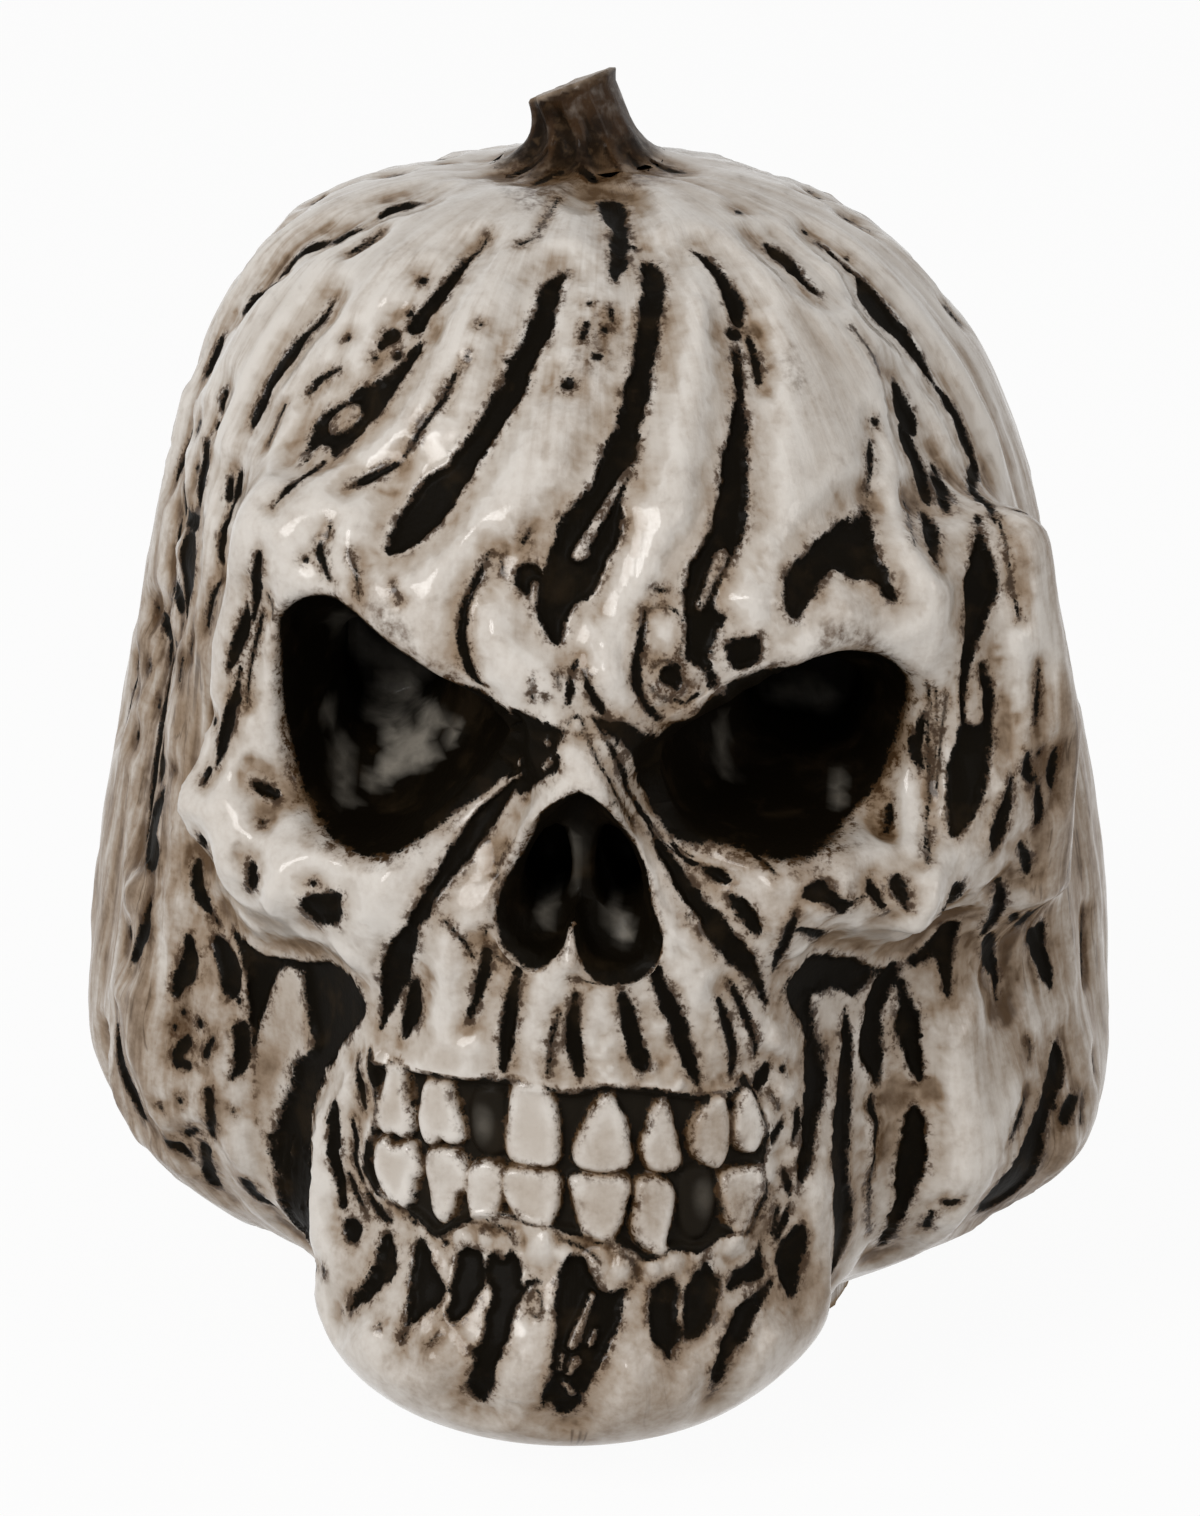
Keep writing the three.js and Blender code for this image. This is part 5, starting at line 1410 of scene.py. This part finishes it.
def parted(name, kept, node):
    body = bmesh.new()
    body.from_mesh(clay_mesh)
    body.faces.ensure_lookup_table()
    gone = [body.faces[index] for index in np.flatnonzero(~kept)]
    bmesh.ops.delete(body, geom=gone, context="FACES")
    drop_crumbs(body)
    open_edges = [edge for edge in body.edges if edge.is_boundary]
    bmesh.ops.holes_fill(body, edges=open_edges, sides=0)
    mesh = bpy.data.meshes.new(name)
    body.to_mesh(mesh)
    body.free()
    mesh.transform(Matrix.Scale(1 / mm_in_metre, 4) @ Matrix.Translation(Vector(foot_axis.tolist())))
    mesh.shade_smooth()
    facing = vectors_of(mesh.attributes["facing"].data, "vector")
    mesh.attributes.remove(mesh.attributes["facing"])
    mesh.normals_split_custom_set_from_vertices(facing.tolist())
    piece = bpy.data.objects.new(name, mesh)
    bpy.context.collection.objects.link(piece)
    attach(piece, "shell")
    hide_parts(node)
    print(name, len(mesh.polygons), "faces,", len(open_edges), "edges along the seam")
    return piece


shell = parted("glazed_shell", ~in_stalk, "skull_shell")
stem = parted("glazed_stalk", in_stalk, "stem")
bpy.data.objects.remove(clay_object)
bpy.data.meshes.remove(clay_mesh)

# %% [markdown]
# ## Shader maths in plain Python
# A procedural material is a sum of many small values. Wrapping a socket in a class with operators lets the
# recipe read as a formula, and every formula leaves the nodes that a Blender user would have linked by hand.

# %% A wire and a recipe
class Wire:
    def __init__(self, recipe, socket):
        self.recipe = recipe
        self.socket = socket

    def maths(self, operation, *values):
        return self.recipe.node("ShaderNodeMath", {"operation": operation}, dict(enumerate(values)))

    def __add__(self, other):
        return self.maths("ADD", self, other)

    def __radd__(self, other):
        return self.maths("ADD", other, self)

    def __sub__(self, other):
        return self.maths("SUBTRACT", self, other)

    def __rsub__(self, other):
        return self.maths("SUBTRACT", other, self)

    def __mul__(self, other):
        return self.maths("MULTIPLY", self, other)

    def __rmul__(self, other):
        return self.maths("MULTIPLY", other, self)

    def __truediv__(self, other):
        return self.maths("DIVIDE", self, other)

    def away_from(self, level):
        return self.maths("ABSOLUTE", self - level)

    def sway(self, amount):
        return (self - 0.5) * amount

    def ramp(self, low, high):
        return self.recipe.node("ShaderNodeMapRange", {"interpolation_type": "SMOOTHSTEP"},
                                {"Value": self, "From Min": low, "From Max": high}, "Result")


class Recipe:
    def __init__(self, name, shelf="materials"):
        self.made = getattr(bpy.data, shelf).new(name)
        self.made.use_nodes = True
        self.tree = self.made.node_tree
        self.tree.nodes.clear()

    def node(self, kind, settings=None, sockets=None, output=0):
        made = self.tree.nodes.new(kind)
        for name, value in (settings or {}).items():
            setattr(made, name, value)
        for name, value in (sockets or {}).items():
            if isinstance(value, Wire):
                self.tree.links.new(value.socket, made.inputs[name])
            else:
                made.inputs[name].default_value = value
        return Wire(self, made.outputs[output]) if made.outputs else None

    def carried(self, name, output="Fac"):
        return self.node("ShaderNodeAttribute", {"attribute_name": name}, {}, output)

    def millimetres(self):
        return self.stretched(self.node("ShaderNodeTexCoord", {}, {}, "Object"), [mm_in_metre] * 3)

    def stretched(self, vector, scale):
        return self.node("ShaderNodeVectorMath", {"operation": "MULTIPLY"}, {0: vector, 1: scale})

    def noise(self, vector, size, detail=3, warp=0, roughness=0.5):
        return self.node("ShaderNodeTexNoise", {}, {
            "Vector": vector, "Scale": 1 / size, "Detail": detail, "Distortion": warp,
            "Roughness": roughness})

    def mixed(self, share, first, second):
        return self.node("ShaderNodeMix", {"data_type": "RGBA"}, {0: share, 6: first, 7: second}, 2)

    def bumps(self, height, distance):
        return self.node("ShaderNodeBump", {}, {"Height": height, "Distance": distance})

    def finish(self, **sockets):
        named = {name.replace("_", " "): value for name, value in sockets.items()}
        surface = self.node("ShaderNodeBsdfPrincipled", {}, named)
        self.node("ShaderNodeOutputMaterial", {}, {"Surface": surface})
        return self.made


def linear(shade):
    share = shade / 255
    return share / 12.92 if shade <= 10 else ((share + 0.055) / 1.055) ** 2.4


def paint(red, green, blue):
    return (linear(red), linear(green), linear(blue), 1)


# %% [markdown]
# ## Ivory glaze over black stain
# On the real piece black stain was brushed on, wiped off the high places, and ivory glaze laid over it. The
# recipe works the same way round: ivory, palest on the ridges as a painted highlight, then a brown wash that
# gathers in hollows, beside the marks and down the flanks, partly stain and partly painted shade, then black
# where the stain's distance is below nothing, with grey patches of painted sheen in it. Noise that follows
# the meridians frays every border.

# %% Mix the bone glaze
def ivory_and_highlight(recipe, low, clouds):
    ivory = recipe.mixed(clouds.ramp(0.35, 0.7), paint(207, 200, 192), paint(189, 177, 164))
    # Painted highlight: the ivory turns paler on the ridges, where light catches them.
    return recipe.mixed((0.04 - low).ramp(0, 0.4) * 0.8, ivory, paint(228, 223, 217))


def black_stain(recipe, gullet, painted_sheen, amber, blotches, mottle):
    black = recipe.mixed(blotches.ramp(0.5, 0.8), paint(13, 9, 4), paint(34, 26, 16))
    # Painted sheen: the black inside the mouth is greyed a little where it catches light.
    black = recipe.mixed(gullet * 0.25, black, paint(58, 52, 44))
    # Painted sheen: grey patches in the black stand for reflections.
    black = recipe.mixed(painted_sheen * (0.9 + mottle.sway(1.2)), black, paint(140, 134, 124))
    return recipe.mixed(amber * blotches.ramp(0.35, 0.55), black, paint(104, 68, 26))


def stalk_bark(recipe, low, sawn, blotches, mottle):
    bark = recipe.mixed(blotches.ramp(0.4, 0.65), paint(60, 41, 23), paint(28, 17, 7))
    # Painted shade: the bark is darkened in the hollows between the stalk's folds.
    bark = recipe.mixed(low.ramp(-0.05, 0.3) * 0.8, bark, paint(16, 10, 4))
    bark = recipe.mixed(mottle.ramp(0.55, 0.72) * 0.3, bark, paint(108, 86, 63))
    cut_face = recipe.mixed(mottle.ramp(0.4, 0.7), paint(150, 133, 116), paint(116, 99, 82))
    return recipe.mixed(sawn, bark, cut_face)


def bone_glaze(name):
    recipe = Recipe(name)
    stain, low, grime_and_shade, enamel, gullet, painted_sheen, smudge, amber, stalk_share, brushed, sawn, bare = (
        recipe.carried(value) for value in clay_values)
    flow = recipe.carried("flow", "Vector")
    here = recipe.millimetres()
    along = recipe.stretched(flow, (1, 1, 0.14))

    clouds = recipe.noise(here, 20, 3)
    blotches = recipe.noise(here, 6, 4, 0.4)
    mottle = recipe.noise(here, 2.2, 3, 0.3)
    fine = recipe.noise(here, 0.8, 3)
    grain = recipe.noise(here, 0.32, 2)
    streaks = recipe.noise(along, 1.5, 4, 0.3)
    strands = recipe.noise(along, 4, 3, 0.5)

    halo = (2.5 - stain + blotches.sway(3) + strands.sway(1.5)).ramp(0, 3.2)
    off_crown = recipe.node("ShaderNodeSeparateXYZ", {}, {"Vector": flow}, "Z").ramp(8, 40)
    bone = 1 - enamel * 0.7
    # The brown wash is partly stain and partly painted shade: it darkens the hollows, the ground beside the
    # marks and the flanks.
    wash_and_shade = grime_and_shade * 0.8 + low.ramp(-0.05, 0.5) * 0.9 * bone + halo * 0.5 * bone + blotches.sway(0.6)
    wash_and_shade = wash_and_shade + strands.sway(0.35 + brushed * 1.1) * off_crown
    wash_and_shade = wash_and_shade + streaks.sway(0.2 + brushed * 1.2) * off_crown
    wash_and_shade = wash_and_shade + mottle.sway(0.45) + fine.sway(0.3)
    ivory = ivory_and_highlight(recipe, low, clouds)
    warm = recipe.mixed(wash_and_shade.ramp(-0.12, 0.9) * 0.85, ivory, paint(138, 113, 85))
    warm = recipe.mixed(wash_and_shade.ramp(0.65, 1.4) * 0.85, warm, paint(80, 57, 33))
    hair = (0.022 - strands.away_from(0.53)).ramp(0, 0.02) * grime_and_shade.ramp(0.5, 0.95)
    warm = recipe.mixed(hair * (blotches.ramp(0.45, 0.6) * 0.75), warm, paint(74, 56, 38))

    near = (2.4 - stain).ramp(0, 2.4)
    smeared = (smudge * (0.8 + mottle.sway(2) + fine.sway(1.6))).ramp(0.05, 0.95)
    warm = recipe.mixed(smeared * 0.85, warm, paint(96, 75, 54))
    specks = (mottle * 0.4 + fine * 0.35 + grain * 0.25).ramp(0.47, 0.6)
    specks = specks * (near * near * 0.95 + grime_and_shade * 0.2 + smudge * 0.5)
    warm = recipe.mixed(specks.ramp(0, 1), warm, paint(74, 50, 27))
    noisy = 1 - enamel * 0.6
    edge = (0.65 - stain + (fine.sway(1.8) + mottle.sway(1.8)) * noisy).ramp(0, 1.0)
    warm = recipe.mixed(edge * 0.85, warm, paint(62, 45, 28))

    frayed = stain + (fine.sway(1.1) + grain.sway(0.8) + mottle.sway(1.0)) * noisy
    black_share = (0.02 - frayed).ramp(-0.14, 0.22)
    colour = recipe.mixed(black_share, warm, black_stain(recipe, gullet, painted_sheen, amber, blotches, mottle))

    bark_share = (stalk_share + mottle.sway(0.9) + blotches.sway(0.7)).ramp(0.1, 0.95)
    colour = recipe.mixed(bark_share, colour, stalk_bark(recipe, low, sawn, blotches, mottle))
    colour = recipe.mixed(bare, colour, paint(176, 152, 122))

    rough = 0.42 + blotches.sway(0.2) + halo * 0.1 - enamel * 0.08 + bare * 0.4
    bump = recipe.bumps(fine * 0.4 + streaks * 0.7 + blotches * 1.0 + mottle * 0.5, 0.00016)
    coat = (0.52 - wash_and_shade * 0.22 - bare * 0.5).ramp(0, 0.8) * (1 - black_share * (0.97 - painted_sheen * 0.5))
    coat = coat * (1 - bark_share * 0.75)
    return recipe.finish(Base_Color=colour, Roughness=rough, Coat_Weight=coat, Coat_Roughness=0.13,
                         Specular_IOR_Level=0.03, Normal=bump)


shell.data.materials.append(bone_glaze("bone_glaze"))
stem.data.materials.append(bone_glaze("stalk_glaze"))
print("bone glaze:", len(shell.data.materials[0].node_tree.nodes), "nodes")

# %% [markdown]
# ## Parts turned round the foot's axis
# The dish, the tealight and the felt pads are hidden in the photograph, and show when the shell is lifted.
# All of them are turned: half an outline of (radius, height) in millimetres is rounded at its corners and
# swept round the axis. A function may then press each turned part out of true, as hands and tools do.

# %% Round an outline and turn it
def rounded(outline, reach, steps=4):
    outline = np.array(outline, float)
    soft = [outline[0]]
    for before, corner, after in zip(outline, outline[1:], outline[2:]):
        back = before - corner
        on = after - corner
        start = corner + back * min(0.5, reach / np.linalg.norm(back))
        stop = corner + on * min(0.5, reach / np.linalg.norm(on))
        for t in np.linspace(0, 1, steps + 1):
            soft.append((1 - t) ** 2 * start + 2 * t * (1 - t) * corner + t * t * stop)
    soft.append(outline[-1])
    return soft


def turned_part(name, outline, sides, pressed=None, place=(0, 0)):
    apart = [spot for before, spot in zip(outline, outline[1:]) if math.dist(before, spot) > 1e-4]
    outline = outline[:1] + apart
    points = []
    rings = []
    for radius, height in outline:
        count = sides if radius > 0 else 1
        angles = 2 * math.pi * np.arange(count) / sides
        rings.append(range(len(points), len(points) + count))
        points += np.column_stack([
            radius * np.cos(angles), radius * np.sin(angles), np.full(count, height)]).tolist()
    faces = []
    for lower, upper in zip(rings, rings[1:]):
        for i in range(sides):
            four = [lower[i % len(lower)], lower[(i + 1) % sides % len(lower)],
                    upper[(i + 1) % sides % len(upper)], upper[i % len(upper)]]
            faces.append(list(dict.fromkeys(four)))
    points = np.array(points)
    if pressed:
        points = pressed(points)
    points = (points + [foot_axis[0] + place[0], foot_axis[1] + place[1], 0]) / mm_in_metre
    made = bpy.data.objects.new(name, as_mesh(name, points, faces))
    made.data.shade_smooth()
    bpy.context.collection.objects.link(made)
    return made


def give(made, body, node, material):
    made.data.materials.append(material)
    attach(made, body)
    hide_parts(node)


def round_the_axis(points):
    return np.hypot(points[:, 0], points[:, 1]), np.arctan2(points[:, 1], points[:, 0])


# %% [markdown]
# ## The black dish
# A small saucer with a ring for the tealight, thrown from the same clay and dipped in black glaze. Fingers
# leave faint rings on thrown clay, and the glaze runs thin and turns brown where it leaves a sharp edge.

# %% Throw the dish
dish_radius = 30.4
dish_bottom = 1.3
dish_top = 5.3
ring_inside = 20
ring_outside = 23.2
ring_top = 11.3
rim_inside = 29.4
finger_reach = 29


def thrown_rings(points):
    radius, _ = round_the_axis(points)
    on_top = points[:, 2] > dish_top - 0.6
    points[:, 2] -= 0.16 * (0.5 + 0.5 * np.sin(radius * 2.4)) * on_top * (radius < finger_reach)
    points[:, 2] -= 0.12 * wobble(points + 50, 9, 11) * on_top
    points[:, :2] *= 1 - 0.006 * wobble(points + 50, 12, 12)[:, None]
    return points


flat_run = [(radius, dish_top) for radius in np.linspace(ring_inside, 0, 26)]
outside_run = [(radius, dish_top) for radius in np.linspace(rim_inside, ring_outside, 12)]
dish_outline = rounded([
    (0, dish_bottom), (dish_radius - 0.8, dish_bottom), (dish_radius, dish_bottom + 1),
    (dish_radius, dish_top), (rim_inside, dish_top),
], 0.8)
dish_outline += outside_run[1:-1]
dish_outline += rounded([
    (ring_outside + 0.6, dish_top), (ring_outside, dish_top), (ring_outside, ring_top),
    (ring_inside, ring_top), (ring_inside, dish_top), (ring_inside - 0.6, dish_top),
], 0.9)
dish_outline += flat_run[1:]


def black_glaze():
    recipe = Recipe("black_glaze")
    here = recipe.millimetres()
    clouds = recipe.noise(here, 7, 4, 0.5)
    pin_holes = recipe.noise(here, 0.7, 2)
    up = recipe.node("ShaderNodeSeparateXYZ", {}, {"Vector": here}, "Z")
    run_off = (up + clouds.sway(1.2)).ramp(10.3, 11.4)
    colour = recipe.mixed(clouds.ramp(0.4, 0.7), paint(20, 18, 17), paint(38, 33, 29))
    colour = recipe.mixed(run_off, colour, paint(98, 66, 42))
    colour = recipe.mixed((0.32 - pin_holes).ramp(0, 0.05) * 0.6, colour, paint(8, 7, 6))
    rough = 0.16 + clouds * 0.12 + run_off * 0.2
    return recipe.finish(Base_Color=colour, Roughness=rough, Specular_IOR_Level=0.5,
                         Normal=recipe.bumps(clouds + pin_holes * 0.3, 0.0001))


dish = turned_part("thrown_dish", dish_outline, 128, thrown_rings)
give(dish, "dish", "candle_dish", black_glaze())
print("dish:", len(dish.data.polygons), "faces")

# %% [markdown]
# ## The tealight
# The cup is drawn from foil in one press, which leaves fine upright crimps in its wall and a rolled rim. The
# paraffin is poured in, shrinks as it cools, and so climbs a little at the foil and at the wick.

# %% Press the cup and pour the wax
cup_bottom = 5.6
cup_radius = 18.6
foil = 0.6
rim_radius = 19.5
cup_top = 20.6
wax_bottom = 6.5
wax_top = 18.4
wax_radius = 17.7
meniscus = 0.8
tab_hole = 6.3
tab_hole_top = 7.4
wick_hole = 1.2


def crimped(points):
    radius, angle = round_the_axis(points)
    on_wall = (radius > cup_radius - foil - 0.1) & (radius < cup_radius + 0.1)
    on_wall &= (points[:, 2] > cup_bottom + 1.5) & (points[:, 2] < cup_top - 1.2)
    press = 0.05 * (1 + np.cos(angle * 60)) + 0.08 * wobble(points + 40, 5, 13)
    points[:, :2] *= 1 - (on_wall * press / np.maximum(radius, 1))[:, None]
    return points


wall_heights = np.linspace(cup_bottom + 1.4, cup_top - 1.2, 8)
cup_outline = rounded([(0, cup_bottom), (cup_radius, cup_bottom), (cup_radius, cup_bottom + 1.3)], 1.0)
cup_outline += [(cup_radius, height) for height in wall_heights]
cup_outline += rounded([
    (cup_radius, cup_top - 1), (cup_radius, cup_top - foil), (rim_radius, cup_top - foil),
    (rim_radius, cup_top), (cup_radius - foil, cup_top), (cup_radius - foil, cup_top - 1),
], 0.32)
cup_outline += [(cup_radius - foil, height) for height in wall_heights[::-1]]
cup_outline += rounded([(cup_radius - foil, cup_bottom + 1.3), (cup_radius - foil, cup_bottom + foil),
                        (0, cup_bottom + foil)], 0.6)


def foil_metal():
    recipe = Recipe("thin_aluminium")
    here = recipe.millimetres()
    drawn = recipe.noise(recipe.stretched(here, (1, 1, 0.12)), 0.5, 4)
    dulled = recipe.noise(here, 5, 4, 0.4)
    colour = recipe.mixed(dulled.ramp(0.35, 0.7), paint(228, 229, 231), paint(203, 204, 207))
    rough = 0.2 + dulled * 0.2 + drawn * 0.1
    return recipe.finish(Base_Color=colour, Metallic=1, Roughness=rough,
                         Normal=recipe.bumps(drawn + dulled * 0.6, 0.00006))


def poured(points):
    radius, _ = round_the_axis(points)
    on_top = points[:, 2] > wax_top - meniscus - 0.2
    points[:, 2] -= 0.18 * wobble(points + 40, 6, 14) * on_top * (radius < wax_radius - 0.8)
    return points


def wax_level(radius):
    share = (radius - wick_hole) / (wax_radius - wick_hole)
    climb = np.exp(-share / 0.06) + np.exp(-(1 - share) / 0.05)
    return wax_top - meniscus * (1 - min(1, float(climb)))


wax_outline = rounded([(tab_hole, tab_hole_top), (tab_hole, wax_bottom), (wax_radius, wax_bottom),
                       (wax_radius, wax_level(wax_radius))], 0.4)
wax_outline += [(radius, wax_level(radius)) for radius in np.linspace(wax_radius, wick_hole, 34)[1:]]
wax_outline += rounded([(wick_hole, wax_top - 0.4), (wick_hole, tab_hole_top), (tab_hole, tab_hole_top)], 0.2)


def paraffin():
    recipe = Recipe("wax")
    here = recipe.millimetres()
    bloom = recipe.noise(here, 3.5, 5, 0.6)
    crystals = recipe.noise(here, 0.6, 4)
    colour = recipe.mixed(bloom.ramp(0.35, 0.7), paint(247, 245, 238), paint(232, 227, 214))
    rough = 0.32 + bloom * 0.25
    return recipe.finish(Base_Color=colour, Roughness=rough, Coat_Weight=bloom.ramp(0.2, 0.7) * 0.25,
                         Coat_Roughness=0.3, Normal=recipe.bumps(bloom + crystals * 0.3, 0.00008))


cup = turned_part("foil_cup", cup_outline, 240, crimped)
give(cup, "tealight", "tealight_cup", foil_metal())
wax = turned_part("poured_wax", wax_outline, 96, poured)
give(wax, "tealight", "tealight_wax", paraffin())
print("tealight:", len(cup.data.polygons), "faces of foil,", len(wax.data.polygons), "of wax")

# %% [markdown]
# ## Wick and tab
# A stamped disc of tinned steel holds the wick upright under the wax. The wick is a cotton cord of three
# strands, twisted and stiff with wax. It bends a little above the wax.

# %% Stamp the tab and twist the wick
tab_radius = 6
tab_bottom = 6.5
tab_top = 7.1
wick_radius = 0.9
wick_foot = 7.4
wick_top = 26.4
twist_per_mm = 1.1
wick_bend = 0.16


def stamped(points):
    radius, angle = round_the_axis(points)
    pressed_ring = np.exp(-((radius - 3.6) / 0.5) ** 2) * (points[:, 2] > tab_bottom + 0.3)
    points[:, 2] -= 0.2 * pressed_ring * (0.7 + 0.3 * np.cos(angle * 6))
    return points


def twisted(points):
    radius, angle = round_the_axis(points)
    rise = points[:, 2] - wick_foot
    strand = np.abs(np.cos(1.5 * (angle + twist_per_mm * rise)))
    frayed = 1 + 0.25 * wobble(points * 3 + 30, 1.3, 15) * smoothstep(points[:, 2], wick_top - 1.2, wick_top)
    points[:, :2] *= np.where(radius > 0, (0.62 + 0.24 * strand) * frayed, 1)[:, None]
    points[:, 0] += wick_bend * smoothstep(points[:, 2], wax_top, wick_top)
    return points


def tinned_steel():
    recipe = Recipe("tinned_steel")
    here = recipe.millimetres()
    rolled = recipe.noise(recipe.stretched(here, (0.15, 1, 1)), 0.25, 4)
    spangle = recipe.noise(here, 1.6, 3)
    colour = recipe.mixed(spangle.ramp(0.35, 0.7), paint(205, 205, 207), paint(176, 177, 181))
    return recipe.finish(Base_Color=colour, Metallic=1, Roughness=0.25 + rolled * 0.2 + spangle * 0.1,
                         Normal=recipe.bumps(rolled, 0.00004))


def waxed_cotton():
    recipe = Recipe("cotton")
    here = recipe.millimetres()
    fibres = recipe.noise(recipe.stretched(here, (3, 3, 0.8)), 0.3, 5, 0.8)
    soaked = recipe.noise(here, 2.5, 3)
    colour = recipe.mixed(fibres.ramp(0.3, 0.7), paint(240, 236, 224), paint(205, 197, 178))
    return recipe.finish(Base_Color=colour, Roughness=0.55 + soaked * 0.3,
                         Normal=recipe.bumps(fibres, 0.00008))


tab_outline = rounded(
    [(0, tab_bottom), (tab_radius, tab_bottom), (tab_radius, tab_top), (4.6, tab_top)], 0.25)
tab_outline += [(radius, tab_top) for radius in np.linspace(4.4, 0, 16)]
tab = turned_part("stamped_tab", tab_outline, 72, stamped)
give(tab, "tealight", "wick_tab", tinned_steel())

wick_outline = [(0, wick_foot), (wick_radius * 0.8, wick_foot)]
wick_outline += [(wick_radius, height) for height in np.linspace(wick_foot + 0.1, wick_top - 0.2, 110)]
wick_outline += [(wick_radius * 0.7, wick_top - 0.06), (0, wick_top)]
wick = turned_part("twisted_wick", wick_outline, 30, twisted)
give(wick, "tealight", "tealight_wick", waxed_cotton())
print("wick:", round(wick_top - wick_foot, 1), "mm of cord")

# %% [markdown]
# ## Felt under the foot and the dish
# Discs of pressed felt are glued under both parts, so that neither scratches the table. A punch cuts them,
# which leaves a slightly ragged edge.

# %% Punch the felt pads
felt_height = 1.0
pad_sets = [
    ("shell", 4, 2.8, 34.25, 0.125),
    ("dish", 3, 5.0, 21.4, 0),
]


def ragged(points):
    radius, _ = round_the_axis(points)
    edge = smoothstep(radius, 1, 2.6)
    points[:, :2] *= 1 - 0.05 * (edge * wobble(points * 4 + 60, 1.7, 16))[:, None]
    return points


def pressed_felt():
    recipe = Recipe("felt")
    here = recipe.millimetres()
    fibres = recipe.noise(here, 0.3, 6, 2.5)
    lint = recipe.noise(here, 1.4, 4, 1)
    colour = recipe.mixed(fibres.ramp(0.35, 0.7), paint(34, 32, 31), paint(72, 68, 65))
    colour = recipe.mixed(lint.ramp(0.6, 0.75) * 0.5, colour, paint(104, 99, 94))
    return recipe.finish(Base_Color=colour, Roughness=0.9 + fibres * 0.1,
                         Normal=recipe.bumps(fibres, 0.00025))


felt_material = pressed_felt()
for body, count, pad_radius, circle, first_turn in pad_sets:
    pad_outline = rounded(
        [(0, 0), (pad_radius, 0), (pad_radius, felt_height), (pad_radius - 0.8, felt_height)], 0.3)
    pad_outline += [(radius, felt_height) for radius in np.linspace(pad_radius - 1, 0, 5)]
    for i in range(count):
        turn_here = 2 * math.pi * (first_turn + i / count)
        place_here = (circle * math.sin(turn_here), -circle * math.cos(turn_here))
        pad = turned_part(f"felt_{body}_{i + 1}", pad_outline, 48, ragged, place_here)
        give(pad, body, f"{body}_pad_{i + 1}", felt_material)
print("felt pads:", sum(count for _, count, *_ in pad_sets))

# %% [markdown]
# ## The studio
# A pale floor, one broad soft lamp from the front left, a weaker one from the right, and a pale world. The
# camera sees the world and most of the floor as white, as in a catalogue picture, and the floor keeps the
# object's shadow.

# %% Floor, world and lamps
def pale_floor():
    recipe = Recipe("pale_floor")
    seen = recipe.node("ShaderNodeLightPath", {}, {}, "Is Camera Ray")
    mirrored = recipe.node("ShaderNodeLightPath", {}, {}, "Is Glossy Ray")
    through = recipe.node("ShaderNodeLightPath", {}, {}, "Is Transmission Ray")
    matt = recipe.node("ShaderNodeBsdfDiffuse", {}, {"Color": (0.8, 0.8, 0.8, 1)})
    white = recipe.node("ShaderNodeEmission", {}, {"Color": (1, 1, 1, 1), "Strength": 1})
    share = (seen + mirrored + through).ramp(0, 1) * 0.95
    both = recipe.node("ShaderNodeMixShader", {}, {0: share, 1: matt, 2: white})
    recipe.node("ShaderNodeOutputMaterial", {}, {"Surface": both})
    return recipe.made


bpy.ops.mesh.primitive_grid_add(x_subdivisions=2, y_subdivisions=2, size=12, location=(0, 0, 0))
floor = bpy.context.object
floor.name = "floor"
floor.data.materials.append(pale_floor())


def studio_air():
    recipe = Recipe("studio", "worlds")
    seen = recipe.node("ShaderNodeLightPath", {}, {}, "Is Camera Ray")
    mirrored = recipe.node("ShaderNodeLightPath", {}, {}, "Is Glossy Ray")
    dim = recipe.node("ShaderNodeBackground", {}, {"Color": (1, 0.985, 0.96, 1), "Strength": 0.34})
    bright = recipe.node("ShaderNodeBackground", {}, {"Color": (1, 1, 1, 1), "Strength": 1})
    share = seen.maths("MAXIMUM", seen, mirrored)
    both = recipe.node("ShaderNodeMixShader", {}, {0: share, 1: dim, 2: bright})
    recipe.node("ShaderNodeOutputWorld", {}, {"Surface": both})
    return recipe.made


bpy.context.scene.world = studio_air()


def lamp(name, place, size, watts, colour):
    data = bpy.data.lights.new(name, "AREA")
    data.shape = "DISK"
    data.size = size
    data.energy = watts
    data.color = colour
    made = bpy.data.objects.new(name, data)
    made.location = place
    made.rotation_euler = (lamp_aim - Vector(place)).to_track_quat("-Z", "Y").to_euler()
    bpy.context.collection.objects.link(made)


lamp_aim = Vector((0, 0, 0.09))
lamp("window", (-0.9, -1.3, 1.1), 0.9, 18, (1, 0.985, 0.965))
lamp("side", (1.3, -0.8, 0.6), 0.8, 3.5, (1, 0.95, 0.9))
bpy.context.scene.view_settings.view_transform = "Standard"
